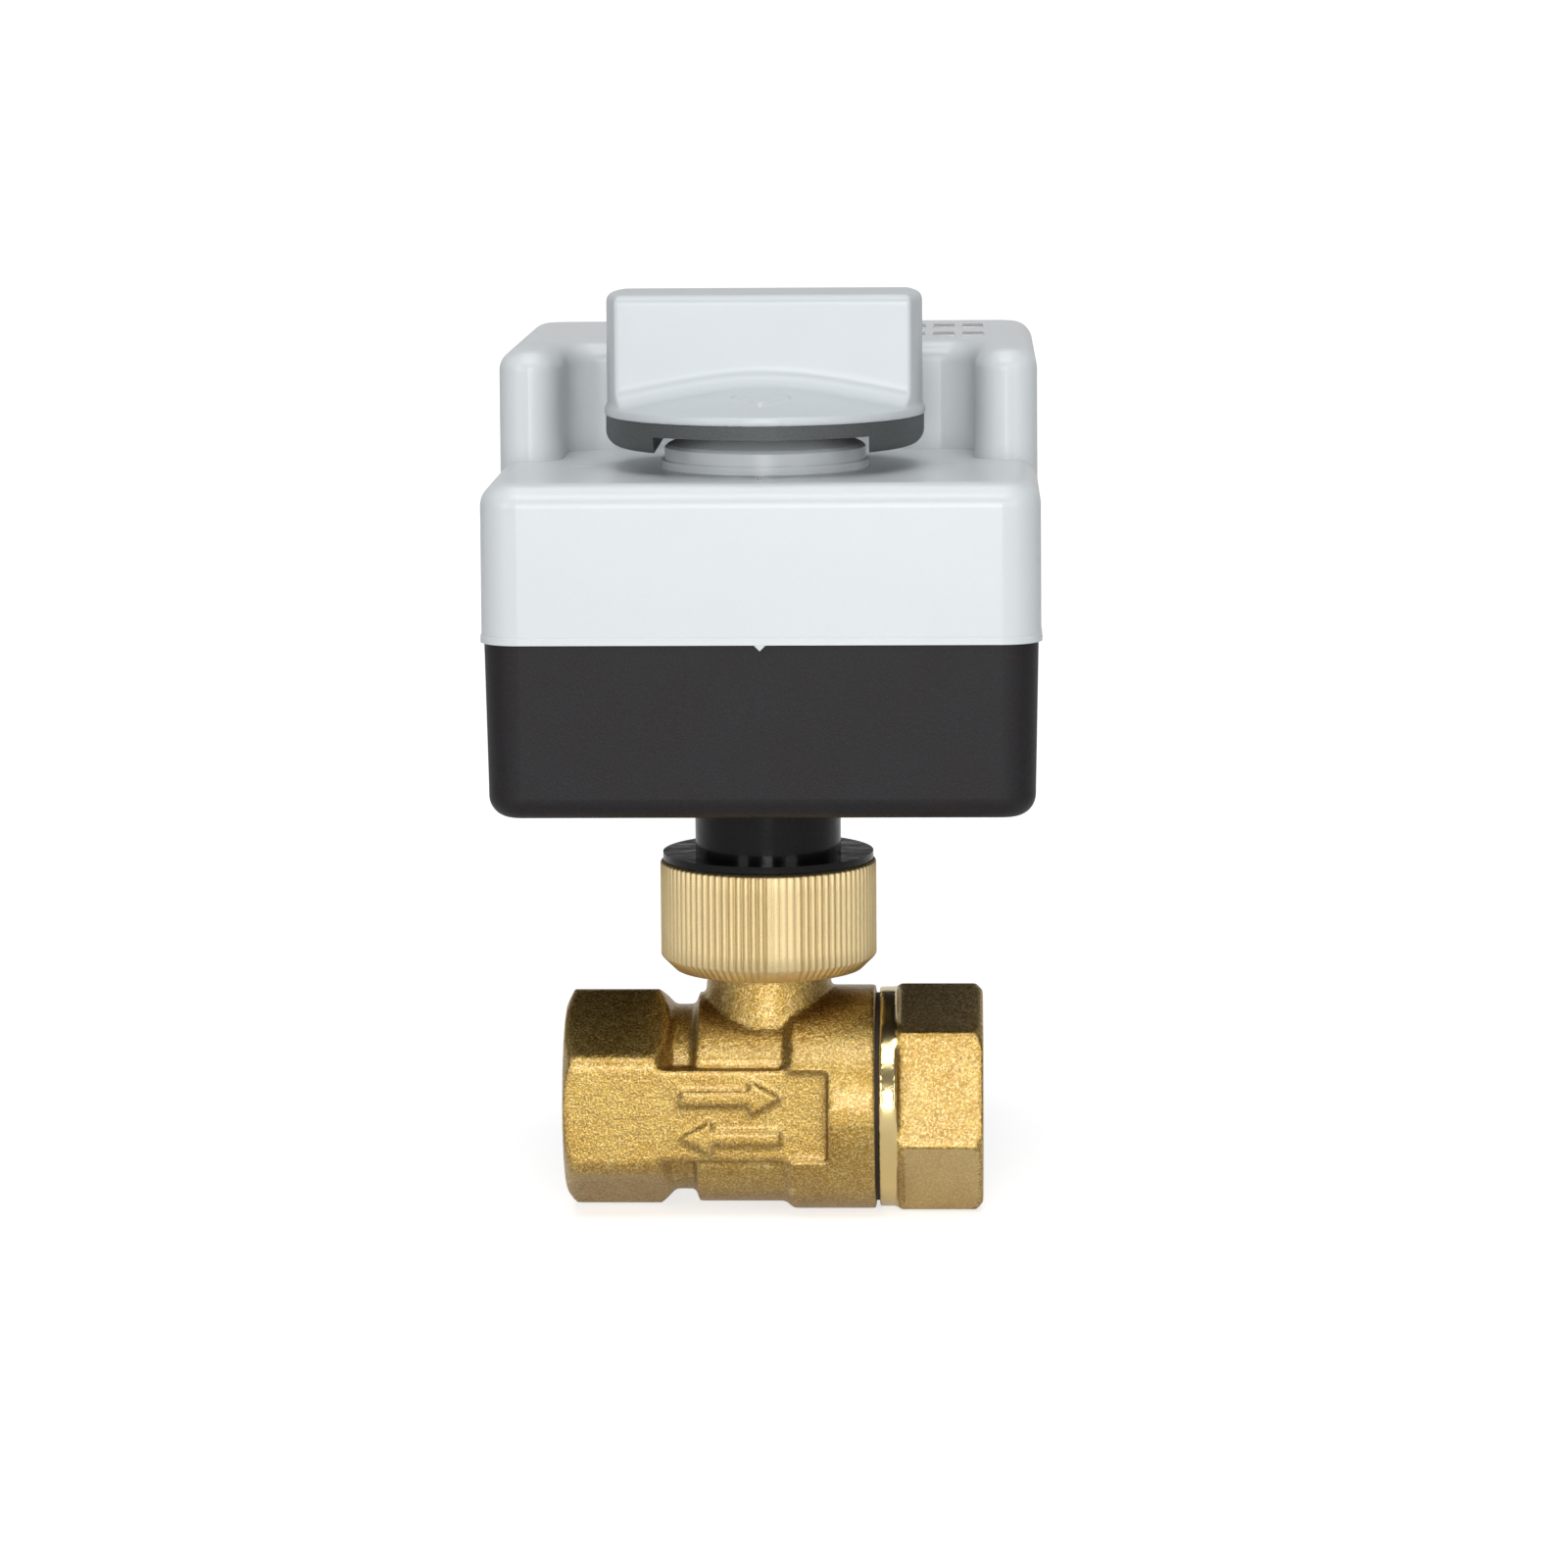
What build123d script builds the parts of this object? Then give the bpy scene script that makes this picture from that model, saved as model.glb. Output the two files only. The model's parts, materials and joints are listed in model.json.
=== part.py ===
"""Motorised zone valve: a brass two-piece ball valve with a geared electric actuator and a manual knob.

Millimetres, +Z up. The flow runs along X and the stem stands on Z. Every piece is built with the stem
on the Z axis and the pipe axis at z = 0; at the end all pieces shift along X, so that the origin of the
part is the centre of the inlet port's mouth. The front of the actuator faces -Y.
"""
from build123d import *
import os
from math import acos, cos, pi, radians, sin, sqrt, tan

# ---------------------------------------------------------------- ball valve
INLET_LENGTH = 28.2          # inlet mouth to stem axis
OUTLET_LENGTH = 29.8         # stem axis to outlet mouth
PORT_RADIUS = 10.48          # G1/2 internal thread, at its major diameter
PORT_DEPTH = 13.0
PASSAGE_RADIUS = 7.5         # 15 mm bore
BODY_FLATS = 27.0            # spanner size of the inlet hexagon
CAP_FLATS = 27.5             # spanner size of the outlet hexagon
CAP_HEX_TURN = 15.0          # the cap's hexagon stops at this angle from the body's, degrees
INLET_HEX_LENGTH = 12.5
HEX_CORNER = 2.5             # rounding of the inlet hexagon's long edges
HEX_MOUTH_CHAMFER = 0.4      # from the flats down to the mouth's face
HEX_MOUTH_TAPER = 1.3        # length of the cone behind that face
WAIST_RADIUS = 12.9          # behind the inlet hexagon
WAIST_START = 2.6            # length of the cone from hexagon to waist
WAIST_LENGTH = 2.8
SADDLE_RADIUS = 14.6         # under the tower
SADDLE_END = 2.2             # past the stem axis
BARREL_RADIUS = 15.6         # around the screwed-in cap
BODY_STEP = 1.2              # length of the cones between those sections
BODY_END = 14.9              # stem axis to the body's end face
PAD_END = 8.4                # the flat pads run past the stem axis to here
PAD_LEDGE = 1.1              # drop from a pad to the saddle along the pad's long edges
ARROW_LENGTH = 13.4
ARROW_WIDTH = 4.4
ARROW_RELIEF = 0.6
ARROW_ROWS = (2.5, -3.1)     # heights of the two raised arrows

BALL_RADIUS = 11.0
BALL_SLOT_WIDTH = 4.2
BALL_SLOT_DEPTH = 2.9
CHAMBER_CLEARANCE = 0.5
SEAT_RADIUS = 10.3
SEAT_INNER = 7.6
SEAT_FACE = 5.6              # stem axis to the seat's inner end
SEAT_BACK = 10.3             # stem axis to the seat's outer end
SEAT_CLEARANCE = 0.05
CAP_SPIGOT_RADIUS = 13.0     # threaded spigot of the end cap
CAP_SPIGOT_START = 6.0
CAP_GAP = 0.5                # between the body's end face and the cap's collar, filled by the seal
CAP_COLLAR_RADIUS = 15.3
CAP_COLLAR_LENGTH = 2.5
CAP_SEAL_RADIUS = 14.5
THREAD_CLEARANCE = 0.05

TOWER_RADIUS = 8.6
TOWER_NECK_TOP = 20.3
TOWER_HEAD_RADIUS = 12.0     # M24 thread for the coupling nut
TOWER_HEAD_START = 21.8
TOWER_TOP = 29.0
THREAD_PITCH = 1.5

STEM_RADIUS = 4.0
RUNNING_CLEARANCE = 0.03
STEM_FOOT_RADIUS = 5.6
STEM_FOOT_BOTTOM = 11.15
STEM_FOOT_TOP = 12.9
STEM_WASHER_THICKNESS = 0.5
STEM_TONGUE_WIDTH = 4.0
STEM_TONGUE_LENGTH = 8.6
STEM_SQUARE = 5.5            # across the flats of its driving end
STEM_SQUARE_START = 27.0
STEM_TOP = 35.0
STEM_RING_HEIGHTS = (17.0, 20.5)
STEM_RING_SECTION = 0.65     # radius of the O-ring cord
SOCKET_CLEARANCE = 0.1       # driving squares in their sockets

# ---------------------------------------------------------------- coupling
NUT_RADIUS = 15.0
NUT_BOTTOM = 18.5
NUT_TOP = 33.6
NUT_CHAMFER = 1.9
NUT_FLUTES = 88
NUT_FLUTE_DEPTH = 0.35
NUT_SMOOTH_ANGLE = 10.0      # direction of the plain strip, right of the front, degrees
NUT_SMOOTH_FLUTES = 4        # flutes left out there
NUT_THREAD_CLEARANCE = 0.08
NUT_LIP_BOTTOM = 31.05
NUT_LIP_CLEARANCE = 0.3
NECK_RADIUS = 10.1           # above the cover ring
NECK_LOWER_RADIUS = 9.9      # below it
NECK_BORE = 6.9
NECK_FLANGE_WIDTH = 4.4
NECK_FLANGE_THICKNESS = 2.0
COVER_RING_RADIUS = 14.6     # black ring on top of the coupling nut
COVER_RING_BOTTOM = 33.9
COVER_RING_TOP = 34.85
SNAP_GROOVE_RADIUS = 9.0
SNAP_RING_RADIUS = 11.6
SNAP_RING_BOTTOM = 29.55
SNAP_RING_TOP = 30.75
SNAP_RING_GAP = 24.0         # opening of the split ring, degrees
LOCATING_PIN_RADIUS = 0.8
LOCATING_PIN_CIRCLE = 7.95
LOCATING_PIN_BOTTOM = 26.0
LOCATING_PIN_TOP = 31.5

COUPLER_RADIUS = 6.4
COUPLER_BOTTOM = 30.0
COUPLER_TOP = 41.2
SHAFT_RADIUS = 4.0
SHAFT_SQUARE = 5.5
SHAFT_BOTTOM = 35.4
SHAFT_LOWER_SQUARE_TOP = 41.5
SHAFT_UPPER_SQUARE = 92.0
SHAFT_TOP = 104.0
LOWER_BUSH_BOTTOM = 42.0
LOWER_BUSH_FLANGE = 8.6
LOWER_BUSH_FLANGE_THICKNESS = 1.2

# ---------------------------------------------------------------- housing
CASE_WIDTH = 74.4
CASE_FRONT = -26.0
CASE_BACK = 70.0
CASE_CORNER = 5.0
CASE_WALL = 2.2
CASE_DRAFT = 1.0             # of the base and the inside of the cover, degrees
COVER_DRAFT = 0.2            # of the cover's outside, degrees
COVER_OVERHANG = 0.35        # how far the cover stands out past the base
CASE_BOTTOM = 43.0
CASE_PARTING = 66.8
CASE_STEP_TOP = 88.3         # low front part of the cover
CASE_TOP = 103.7             # raised back part of the cover
BOTTOM_FILLET = 3.0
STEP_FILLET = 3.2
TOP_FILLET = 3.0
BAY_HALF_WIDTH = 29.0        # the knob's bay between the cover's two arms
ARM_FRONT = 8.0
BAY_BACK = 26.0
BAY_CORNER = 5.0
REBATE_WIDTH = 1.2
REBATE_DEPTH = 2.0
TONGUE_WIDTH = 1.0
TONGUE_CLEARANCE = 0.1
SEAL_THICKNESS = 0.5
BEAD_HEIGHT = 1.0            # bead round the cover's lower edge
BEAD_RELIEF = 0.15
NIB_WIDTH = 1.6              # locating nib in the middle of the front parting line
NIB_HEIGHT = 0.8
NIB_CLEARANCE = 0.08

BOSS_RADIUS = 4.0
CASE_SCREW_X = 30.8
CASE_SCREW_Y = (CASE_FRONT + 6.2, CASE_BACK - 6.2)
CASE_SCREW_RADIUS = 1.5
CASE_SCREW_HEAD = 2.9
CASE_SCREW_HEAD_HEIGHT = 2.2
CASE_SCREW_SEAT = 56.0       # where the head bears, deep in the base
CASE_SCREW_TOP = 78.0
SCREW_HOLE_CLEARANCE = 0.2

COLLAR_RADIUS = 13.8         # raised collar round the knob's shaft
COLLAR_FOOT_RADIUS = 14.3
COLLAR_FOOT_TOP = 89.4
COLLAR_TOP = 91.5
COLLAR_RIM_RADIUS = 11.0     # the collar's top slopes up to a rim of this radius
COLLAR_RIM_INNER = 10.4
COLLAR_RIM_TOP = 92.75
UPPER_BUSH_RADIUS = 6.0
UPPER_BUSH_FLANGE = 7.8
UPPER_BUSH_FLANGE_THICKNESS = 1.2
UPPER_BUSH_TOP = 91.3
CLIP_RADIUS = 6.0
CLIP_GROOVE_RADIUS = 3.2
CLIP_THICKNESS = 0.9
CLIP_GAP = 0.35
DASH_LENGTH = 3.0            # raised dashes on the right of the raised top
DASH_WIDTH = 4.5
DASH_RELIEF = 0.25
DASH_ROWS = (36.0, 53.0)
DASH_PLACES = (20.2, 24.4, 28.6)
TICK_LENGTH = 3.0            # engraved position ticks beside the knob
TICK_WIDTH = 0.7
TICK_DEPTH = 0.3
TICK_RADIUS = 25.4
TICK_ANGLES = (0, 180, 270)

# ---------------------------------------------------------------- knob
KNOB_RADIUS = 22.0
KNOB_BOTTOM = 95.5
KNOB_RIM = 1.2
KNOB_CONE_RISE = 0.245       # rise of the dome per millimetre inwards
KNOB_TOP = 112.3
GRIP_RADIUS = 21.6           # ends of the grip bar lie on this radius
GRIP_HALF_DEPTH = 8.0
GRIP_FILLET = 1.2            # round the top of the grip
GRIP_ROOT_FILLET = 3.0       # where the dome runs up into the grip
KNOB_WALL = 2.0
KNOB_HUB_RADIUS = 8.0
KNOB_HUB_BOTTOM = 91.75
CHEVRON_HALF_WIDTH = 3.7
CHEVRON_DEPTH = 3.4
CHEVRON_STROKE = 1.1
CHEVRON_TIP = -17.6
CHEVRON_RELIEF = 0.6
KNOB_BASE_RADIUS = 21.8
KNOB_BASE_DISC_BOTTOM = 93.7
KNOB_LOBE_BOTTOM = 91.3
KNOB_LOBE_FILLET = 2.2
KNOB_LOBE_INNER = 14.5       # flat inner walls of the two lobes, clear of the collar
KNOB_BASE_BOSS_RADIUS = 9.6
KNOB_BASE_BOSS_BOTTOM = 92.9

# ---------------------------------------------------------------- drive
MODULE = 0.8
PRESSURE_ANGLE = radians(20)
ADDENDUM = 0.64
DEDENDUM = 0.84
BACKLASH = 0.10
OUTPUT_TEETH = 54
IDLER_TEETH = 42
PINION_TEETH = 14
IDLER_DIRECTION = radians(65)    # from the output shaft to the idler
PINION_DIRECTION = radians(150)  # from the idler to the pinion
OUTPUT_GEAR_BOTTOM = 50.4
OUTPUT_GEAR_THICKNESS = 4.6
IDLER_STEP = 0.8                 # between the idler's two gears and their neighbours
IDLER_WHEEL_THICKNESS = 3.0
GEAR_HUB_RADIUS = 7.2
IDLER_PIN_RADIUS = 1.5
IDLER_PIN_BOTTOM = 47.0
PLATE_BOTTOM = 61.4
PLATE_THICKNESS = 1.5
PLATE_HALF_WIDTH = 32.0
PLATE_FRONT = -15.0
PLATE_BACK = 50.0
PLATE_CORNER = 3.0
PLATE_POSTS = ((-27.5, -9.5), (27.5, -9.5), (-28.2, 45.0), (28.2, 45.0))
PLATE_POST_RADIUS = 3.4
PLATE_SCREW_RADIUS = 1.25
PLATE_SCREW_HEAD = 2.4
PLATE_SCREW_LENGTH = 9.0

MOTOR_CENTRE = (0.0, 40.5)
MOTOR_RADIUS = 20.5
MOTOR_HEIGHT = 20.0
MOTOR_RIM = 1.0
MOTOR_EAR_X = 24.0
MOTOR_EAR_RADIUS = 3.2
MOTOR_EAR_THICKNESS = 1.2
MOTOR_SHAFT_RADIUS = 2.0
MOTOR_BOSS_RADIUS = 4.5

CAM_RADIUS = 9.5
CAM_RISE = 0.9               # plunger travel over the quarter turn
CAM_THICKNESS = 4.0
CAM_GAP = 0.12
SWITCH_BOTTOM = 63.4
SWITCH_SIZE = (10.0, 20.0, 6.4)
SWITCH_PITCH = 7.0
SWITCH_FACE = 12.2           # stem axis to the face with the plunger
SWITCH_Y = -5.0              # middle of the switches
PLUNGER_WIDTH = 1.6
PLUNGER_HEIGHT = 3.0
PLUNGER_REACH = 3.2          # length inside the switch
PLUNGER_CLEARANCE = 0.08
SWITCH_SCREW_RADIUS = 1.1
SWITCH_SCREW_PLACES = (-9.8, -1.2)
SWITCH_SCREW_X = 19.8
SWITCH_TERMINAL = (5.0, 3.2, 0.5)

BOARD_BOTTOM = 87.0
BOARD_THICKNESS = 1.6
BOARD_HALF_WIDTH = 31.0
BOARD_FRONT = 31.0
BOARD_BACK = 65.0
BOARD_CORNER = 3.0
BOARD_POSTS = ((-28.2, 34.4), (28.2, 34.4), (-24.0, 47.6), (24.0, 47.6))
BOARD_POST_RADIUS = 2.2
TERMINAL_WAYS = 4
TERMINAL_PITCH = 5.0
TERMINAL_DEPTH = 9.0
TERMINAL_HEIGHT = 10.0
TERMINAL_CENTRE = (-12.5, 58.0)
RELAY_SIZE = (19.0, 10.0, 10.5)
RELAY_CENTRE = (12.0, 58.5)
CAPACITOR_RADIUS = 4.0
CAPACITOR_HEIGHT = 10.5
CAPACITOR_CENTRE = (5.0, 41.5)

GLAND_X = 18.0
GLAND_Z = 54.0
GLAND_HOLE = 6.1
GLAND_FLATS = 15.0
GLAND_SPOT_RADIUS = 9.2      # flat seat for the gland on the drafted wall
GLAND_SPOT_DEPTH = 0.4
GLAND_FLANGE_THICKNESS = 3.5
GLAND_INNER_LENGTH = 7.0
GLAND_THREAD_LENGTH = 7.0
GLAND_THREAD_RADIUS = 5.9
GLAND_BORE = 4.3
GLAND_SEAL_BORE = 3.2
GLAND_SEAL_LENGTH = 7.5
GLAND_NUT_RADIUS = 8.2
GLAND_NUT_LENGTH = 9.0
GLAND_NUT_RIBS = 18
GLAND_NUT_MOUTH = 4.0
GLAND_LOCKNUT_THICKNESS = 2.6


# ---------------------------------------------------------------- helpers
def cylinder(radius, bottom, top, x=0.0, y=0.0, inner=0.0):
    """A cylinder or tube along Z."""
    section = Circle(radius)
    if inner:
        section -= Circle(inner)
    return Pos(x, y, bottom) * extrude(section, top - bottom)


def cylinder_x(radius, start, end, inner=0.0):
    """A cylinder or tube along the pipe axis."""
    section = Circle(radius)
    if inner:
        section -= Circle(inner)
    return extrude(Plane.YZ.offset(start) * section, end - start)


def cylinder_y(radius, start, end, x, z, inner=0.0):
    """A cylinder or tube along Y, centred on (x, z)."""
    section = Circle(radius)
    if inner:
        section -= Circle(inner)
    plane = Plane(origin=(x, start, z), x_dir=(1, 0, 0), z_dir=(0, 1, 0))
    return extrude(plane * section, end - start)


def block(x, y, z):
    """A box between pairs of coordinates."""
    size = (x[1] - x[0], y[1] - y[0], z[1] - z[0])
    middle = Pos((x[0] + x[1]) / 2, (y[0] + y[1]) / 2, (z[0] + z[1]) / 2)
    return middle * Box(*size)


def turned(points):
    """A solid of revolution about Z from a closed outline of (radius, height) points."""
    return revolve(Plane.XZ * make_face(Polyline(*points, close=True)), axis=Axis.Z)


def turned_x(points):
    """A solid of revolution about X from a closed outline of (x, radius) points."""
    return revolve(make_face(Polyline(*points, close=True)), axis=Axis.X)


def hexagon_bar(flats, start, end, turn=0.0):
    """A hexagonal bar along X with two flats facing -Y and +Y before it is turned."""
    outline = RegularPolygon(flats / 2, 6, major_radius=False, rotation=30 + turn)
    return extrude(Plane.YZ.offset(start) * outline, end - start)


def square_bar(flats, bottom, top):
    """A square bar along Z."""
    return Pos(0, 0, bottom) * extrude(Rectangle(flats, flats), top - bottom)


def polar(radius, angle):
    return (radius * cos(angle), radius * sin(angle))


def spur_gear(teeth, bottom, top, first_tooth):
    """A solid spur gear on the Z axis with a tooth centred at the angle first_tooth."""
    pitch_radius = MODULE * teeth / 2
    base_radius = pitch_radius * cos(PRESSURE_ANGLE)
    tip_radius = pitch_radius + ADDENDUM
    root_radius = pitch_radius - DEDENDUM
    flank_start = max(root_radius, base_radius * 1.0001)
    half_tooth = (pi * MODULE / 2 - BACKLASH) / 2 / pitch_radius

    def half_angle(radius):
        """Half the tooth's angular thickness at a radius, on an involute flank."""
        pressure = acos(base_radius / radius)
        return half_tooth + (tan(PRESSURE_ANGLE) - PRESSURE_ANGLE) - (tan(pressure) - pressure)

    flank = [(r, half_angle(r)) for r in (flank_start, (flank_start + tip_radius) / 2, tip_radius)]
    edges, previous, first = [], None, None
    for tooth in range(teeth):
        middle = first_tooth + 2 * pi * tooth / teeth
        rising = [polar(r, middle - a) for r, a in flank]
        falling = [polar(r, middle + a) for r, a in reversed(flank)]
        foot_in = polar(root_radius, middle - flank[0][1])
        foot_out = polar(root_radius, middle + flank[0][1])
        deep = flank_start - root_radius > 1e-6
        if previous:
            edges.append(Line(previous, foot_in if deep else rising[0]))
        else:
            first = foot_in if deep else rising[0]
        if deep:
            edges.append(Line(foot_in, rising[0]))
        edges.append(ThreePointArc(*rising))
        edges.append(Line(rising[2], falling[0]))
        edges.append(ThreePointArc(*falling))
        if deep:
            edges.append(Line(falling[2], foot_out))
        previous = foot_out if deep else falling[2]
    edges.append(Line(previous, first))
    return Pos(0, 0, bottom) * extrude(make_face(edges), top - bottom)


def screw(x, y, seat, tip, radius, head_radius, head_height):
    """A cross-slotted pan-head screw whose head bears at height seat; tip may be above or below it."""
    up = 1 if tip > seat else -1
    head_end = seat - up * head_height
    shank = cylinder(radius, min(seat, tip), max(seat, tip))
    head = cylinder(head_radius, min(seat, head_end), max(seat, head_end))
    slot_depth = head_height * 0.45
    cross = Box(head_radius * 1.2, 0.6, 2 * slot_depth) + Box(0.6, head_radius * 1.2, 2 * slot_depth)
    return Pos(x, y, 0) * (shank + head - Pos(0, 0, head_end) * cross)


def group(shapes):
    """Separate solids that share one node."""
    return Compound([solid for shape in shapes for solid in shape.solids()])


# ---------------------------------------------------------------- ball valve
def chamber_radius():
    """The chamber takes the ball and lets the outlet's seat through."""
    return max(BALL_RADIUS + CHAMBER_CLEARANCE, SEAT_RADIUS + 4 * SEAT_CLEARANCE)


def valve_body():
    hexagon_end = -INLET_LENGTH + INLET_HEX_LENGTH
    waist = hexagon_end + WAIST_START
    saddle = waist + WAIST_LENGTH
    mouth = BODY_FLATS / 2 - HEX_MOUTH_CHAMFER
    corner = BODY_FLATS / 2 / cos(radians(30))
    envelope = turned_x([
        (-INLET_LENGTH, 0), (-INLET_LENGTH, mouth), (-INLET_LENGTH + HEX_MOUTH_TAPER, corner + 0.1),
        (hexagon_end, corner + 0.1), (waist, WAIST_RADIUS), (waist, 0)])
    hexagon = hexagon_bar(BODY_FLATS, -INLET_LENGTH, waist)
    hexagon = fillet(hexagon.edges().filter_by(Axis.X), HEX_CORNER) & envelope
    run = turned_x([
        (waist, 0), (waist, WAIST_RADIUS), (saddle, WAIST_RADIUS),
        (saddle + BODY_STEP / 2, SADDLE_RADIUS), (SADDLE_END, SADDLE_RADIUS),
        (SADDLE_END + BODY_STEP, BARREL_RADIUS), (BODY_END, BARREL_RADIUS), (BODY_END, 0)])
    flat = BODY_FLATS / 2
    pad_height = (flat - HEX_CORNER) * tan(radians(30))
    ledge_height = sqrt(SADDLE_RADIUS ** 2 - (flat - PAD_LEDGE) ** 2)
    pad = block((hexagon_end - 1, PAD_END), (-flat, flat), (-pad_height, pad_height))
    tower = turned([
        (0, 0), (TOWER_RADIUS + 0.4, 0), (TOWER_RADIUS + 0.4, SADDLE_RADIUS - 2),
        (TOWER_RADIUS, TOWER_NECK_TOP - 3), (TOWER_RADIUS, TOWER_NECK_TOP),
        (TOWER_HEAD_RADIUS, TOWER_HEAD_START), (TOWER_HEAD_RADIUS, TOWER_TOP - 0.8),
        (TOWER_HEAD_RADIUS - 0.8, TOWER_TOP), (0, TOWER_TOP)])
    for side in (-1, 1):
        beyond_ledge = sorted((side * (flat - PAD_LEDGE), side * (flat + 5)))
        run -= block((waist, SADDLE_END), beyond_ledge, (-ledge_height, ledge_height))
    body = hexagon + run + pad + tower
    for side in (-1, 1):
        beyond = sorted((side * flat, side * (flat + 5)))
        body -= block((-INLET_LENGTH, PAD_END), beyond, (-pad_height, pad_height))
    for row, heading in zip(ARROW_ROWS, (1, -1)):
        body += flow_arrow(row, heading)
    hollow = turned_x([
        (-INLET_LENGTH, 0), (-INLET_LENGTH, PORT_RADIUS), (-INLET_LENGTH + PORT_DEPTH, PORT_RADIUS),
        (-INLET_LENGTH + PORT_DEPTH, PASSAGE_RADIUS), (-SEAT_BACK, PASSAGE_RADIUS),
        (-SEAT_BACK, SEAT_RADIUS + SEAT_CLEARANCE), (-SEAT_FACE + 0.4, SEAT_RADIUS + SEAT_CLEARANCE),
        (-SEAT_FACE + 0.4, chamber_radius()), (CAP_SPIGOT_START - 0.1, chamber_radius()),
        (CAP_SPIGOT_START - 0.1, CAP_SPIGOT_RADIUS + THREAD_CLEARANCE),
        (BODY_END, CAP_SPIGOT_RADIUS + THREAD_CLEARANCE), (BODY_END, 0)])
    body -= hollow
    body -= cylinder(STEM_RADIUS + RUNNING_CLEARANCE, 0, TOWER_TOP)
    body -= cylinder(STEM_FOOT_RADIUS + 0.2, 5, STEM_FOOT_TOP + STEM_WASHER_THICKNESS)
    for x in (-LOCATING_PIN_CIRCLE, LOCATING_PIN_CIRCLE):
        body -= cylinder(LOCATING_PIN_RADIUS, LOCATING_PIN_BOTTOM, TOWER_TOP, x=x)
    for turn in range(4):
        z = TOWER_HEAD_START + 0.9 + turn * THREAD_PITCH
        body -= thread_groove(TOWER_HEAD_RADIUS, z)
    return body


def flow_arrow(height, heading):
    """A raised flow arrow on the front pad."""
    half, head = ARROW_LENGTH / 2, ARROW_WIDTH * 0.9
    shaft = ARROW_WIDTH * 0.19
    outline = Polygon(
        (-half, -shaft), (half - head, -shaft), (half - head, -ARROW_WIDTH / 2), (half, 0),
        (half - head, ARROW_WIDTH / 2), (half - head, shaft), (-half, shaft), align=None)
    face = Plane(origin=(-5.0, -BODY_FLATS / 2 + 0.3, height), x_dir=(heading, 0, 0), z_dir=(0, -1, 0))
    return extrude(face * outline, ARROW_RELIEF + 0.3)


def thread_groove(radius, height):
    """A V groove round a stud, cut for each turn of a thread."""
    depth = THREAD_PITCH * 0.4
    return turned([(radius - depth, height), (radius + 0.1, height - depth), (radius + 0.1, height + depth)])


def end_cap():
    collar = BODY_END + CAP_GAP
    shoulder = collar + CAP_COLLAR_LENGTH
    corner = CAP_FLATS / 2 / cos(radians(30))
    envelope = turned_x([
        (shoulder, 0), (shoulder, corner - 0.5), (shoulder + 0.5, corner + 0.1),
        (OUTLET_LENGTH - 1.1, corner + 0.1), (OUTLET_LENGTH, corner - 1.2), (OUTLET_LENGTH, 0)])
    hexagon = hexagon_bar(CAP_FLATS, shoulder, OUTLET_LENGTH, turn=-CAP_HEX_TURN) & envelope
    spigot = cylinder_x(CAP_SPIGOT_RADIUS, CAP_SPIGOT_START, collar)
    cap = hexagon + cylinder_x(CAP_COLLAR_RADIUS, collar, shoulder) + spigot
    hollow = turned_x([
        (CAP_SPIGOT_START, 0), (CAP_SPIGOT_START, SEAT_RADIUS + SEAT_CLEARANCE),
        (SEAT_BACK, SEAT_RADIUS + SEAT_CLEARANCE), (SEAT_BACK, PASSAGE_RADIUS),
        (OUTLET_LENGTH - PORT_DEPTH, PASSAGE_RADIUS), (OUTLET_LENGTH - PORT_DEPTH, PORT_RADIUS),
        (OUTLET_LENGTH, PORT_RADIUS), (OUTLET_LENGTH, 0)])
    return cap - hollow


def cap_seal():
    return cylinder_x(CAP_SEAL_RADIUS, BODY_END, BODY_END + CAP_GAP, inner=CAP_SPIGOT_RADIUS)


def ball():
    sphere = Sphere(BALL_RADIUS)
    waterway = cylinder_x(PASSAGE_RADIUS, -BALL_RADIUS, BALL_RADIUS)
    half = BALL_SLOT_WIDTH / 2
    slot = block((-half, half), (-BALL_RADIUS, BALL_RADIUS), (BALL_RADIUS - BALL_SLOT_DEPTH, BALL_RADIUS + 1))
    return sphere - waterway - slot


def seat(side):
    """A seat ring, hollowed to the ball; side is -1 at the inlet and 1 at the outlet."""
    sphere = BALL_RADIUS + SEAT_CLEARANCE
    rim = (side * SEAT_FACE, sqrt(sphere**2 - SEAT_FACE**2))
    lip = (side * sqrt(sphere**2 - SEAT_INNER**2), SEAT_INNER)
    between = (abs(rim[0]) + abs(lip[0])) / 2
    middle = (side * between, sqrt(sphere**2 - between**2))
    outline = Polyline(rim, (side * SEAT_FACE, SEAT_RADIUS), (side * SEAT_BACK, SEAT_RADIUS),
                       (side * SEAT_BACK, SEAT_INNER), lip)
    return revolve(make_face([*outline.edges(), ThreePointArc(lip, middle, rim)]), axis=Axis.X)


def valve_stem():
    stem = cylinder(STEM_RADIUS, STEM_FOOT_TOP - 0.5, STEM_SQUARE_START)
    stem += cylinder(STEM_FOOT_RADIUS, STEM_FOOT_BOTTOM, STEM_FOOT_TOP)
    half_width, half_length = STEM_TONGUE_WIDTH / 2, STEM_TONGUE_LENGTH / 2
    tongue_bottom = BALL_RADIUS - BALL_SLOT_DEPTH + 0.2
    stem += block((-half_width, half_width), (-half_length, half_length), (tongue_bottom, STEM_FOOT_TOP))
    square = square_bar(STEM_SQUARE, STEM_SQUARE_START - 0.5, STEM_TOP)
    square &= cylinder(STEM_RADIUS - 0.2, STEM_SQUARE_START - 0.5, STEM_TOP)
    stem += square
    for height in STEM_RING_HEIGHTS:
        groove_floor = STEM_RADIUS - 2 * STEM_RING_SECTION
        stem -= cylinder(STEM_RADIUS + 1, height - STEM_RING_SECTION - 0.1, height + STEM_RING_SECTION + 0.1,
                         inner=groove_floor)
    return stem


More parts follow.
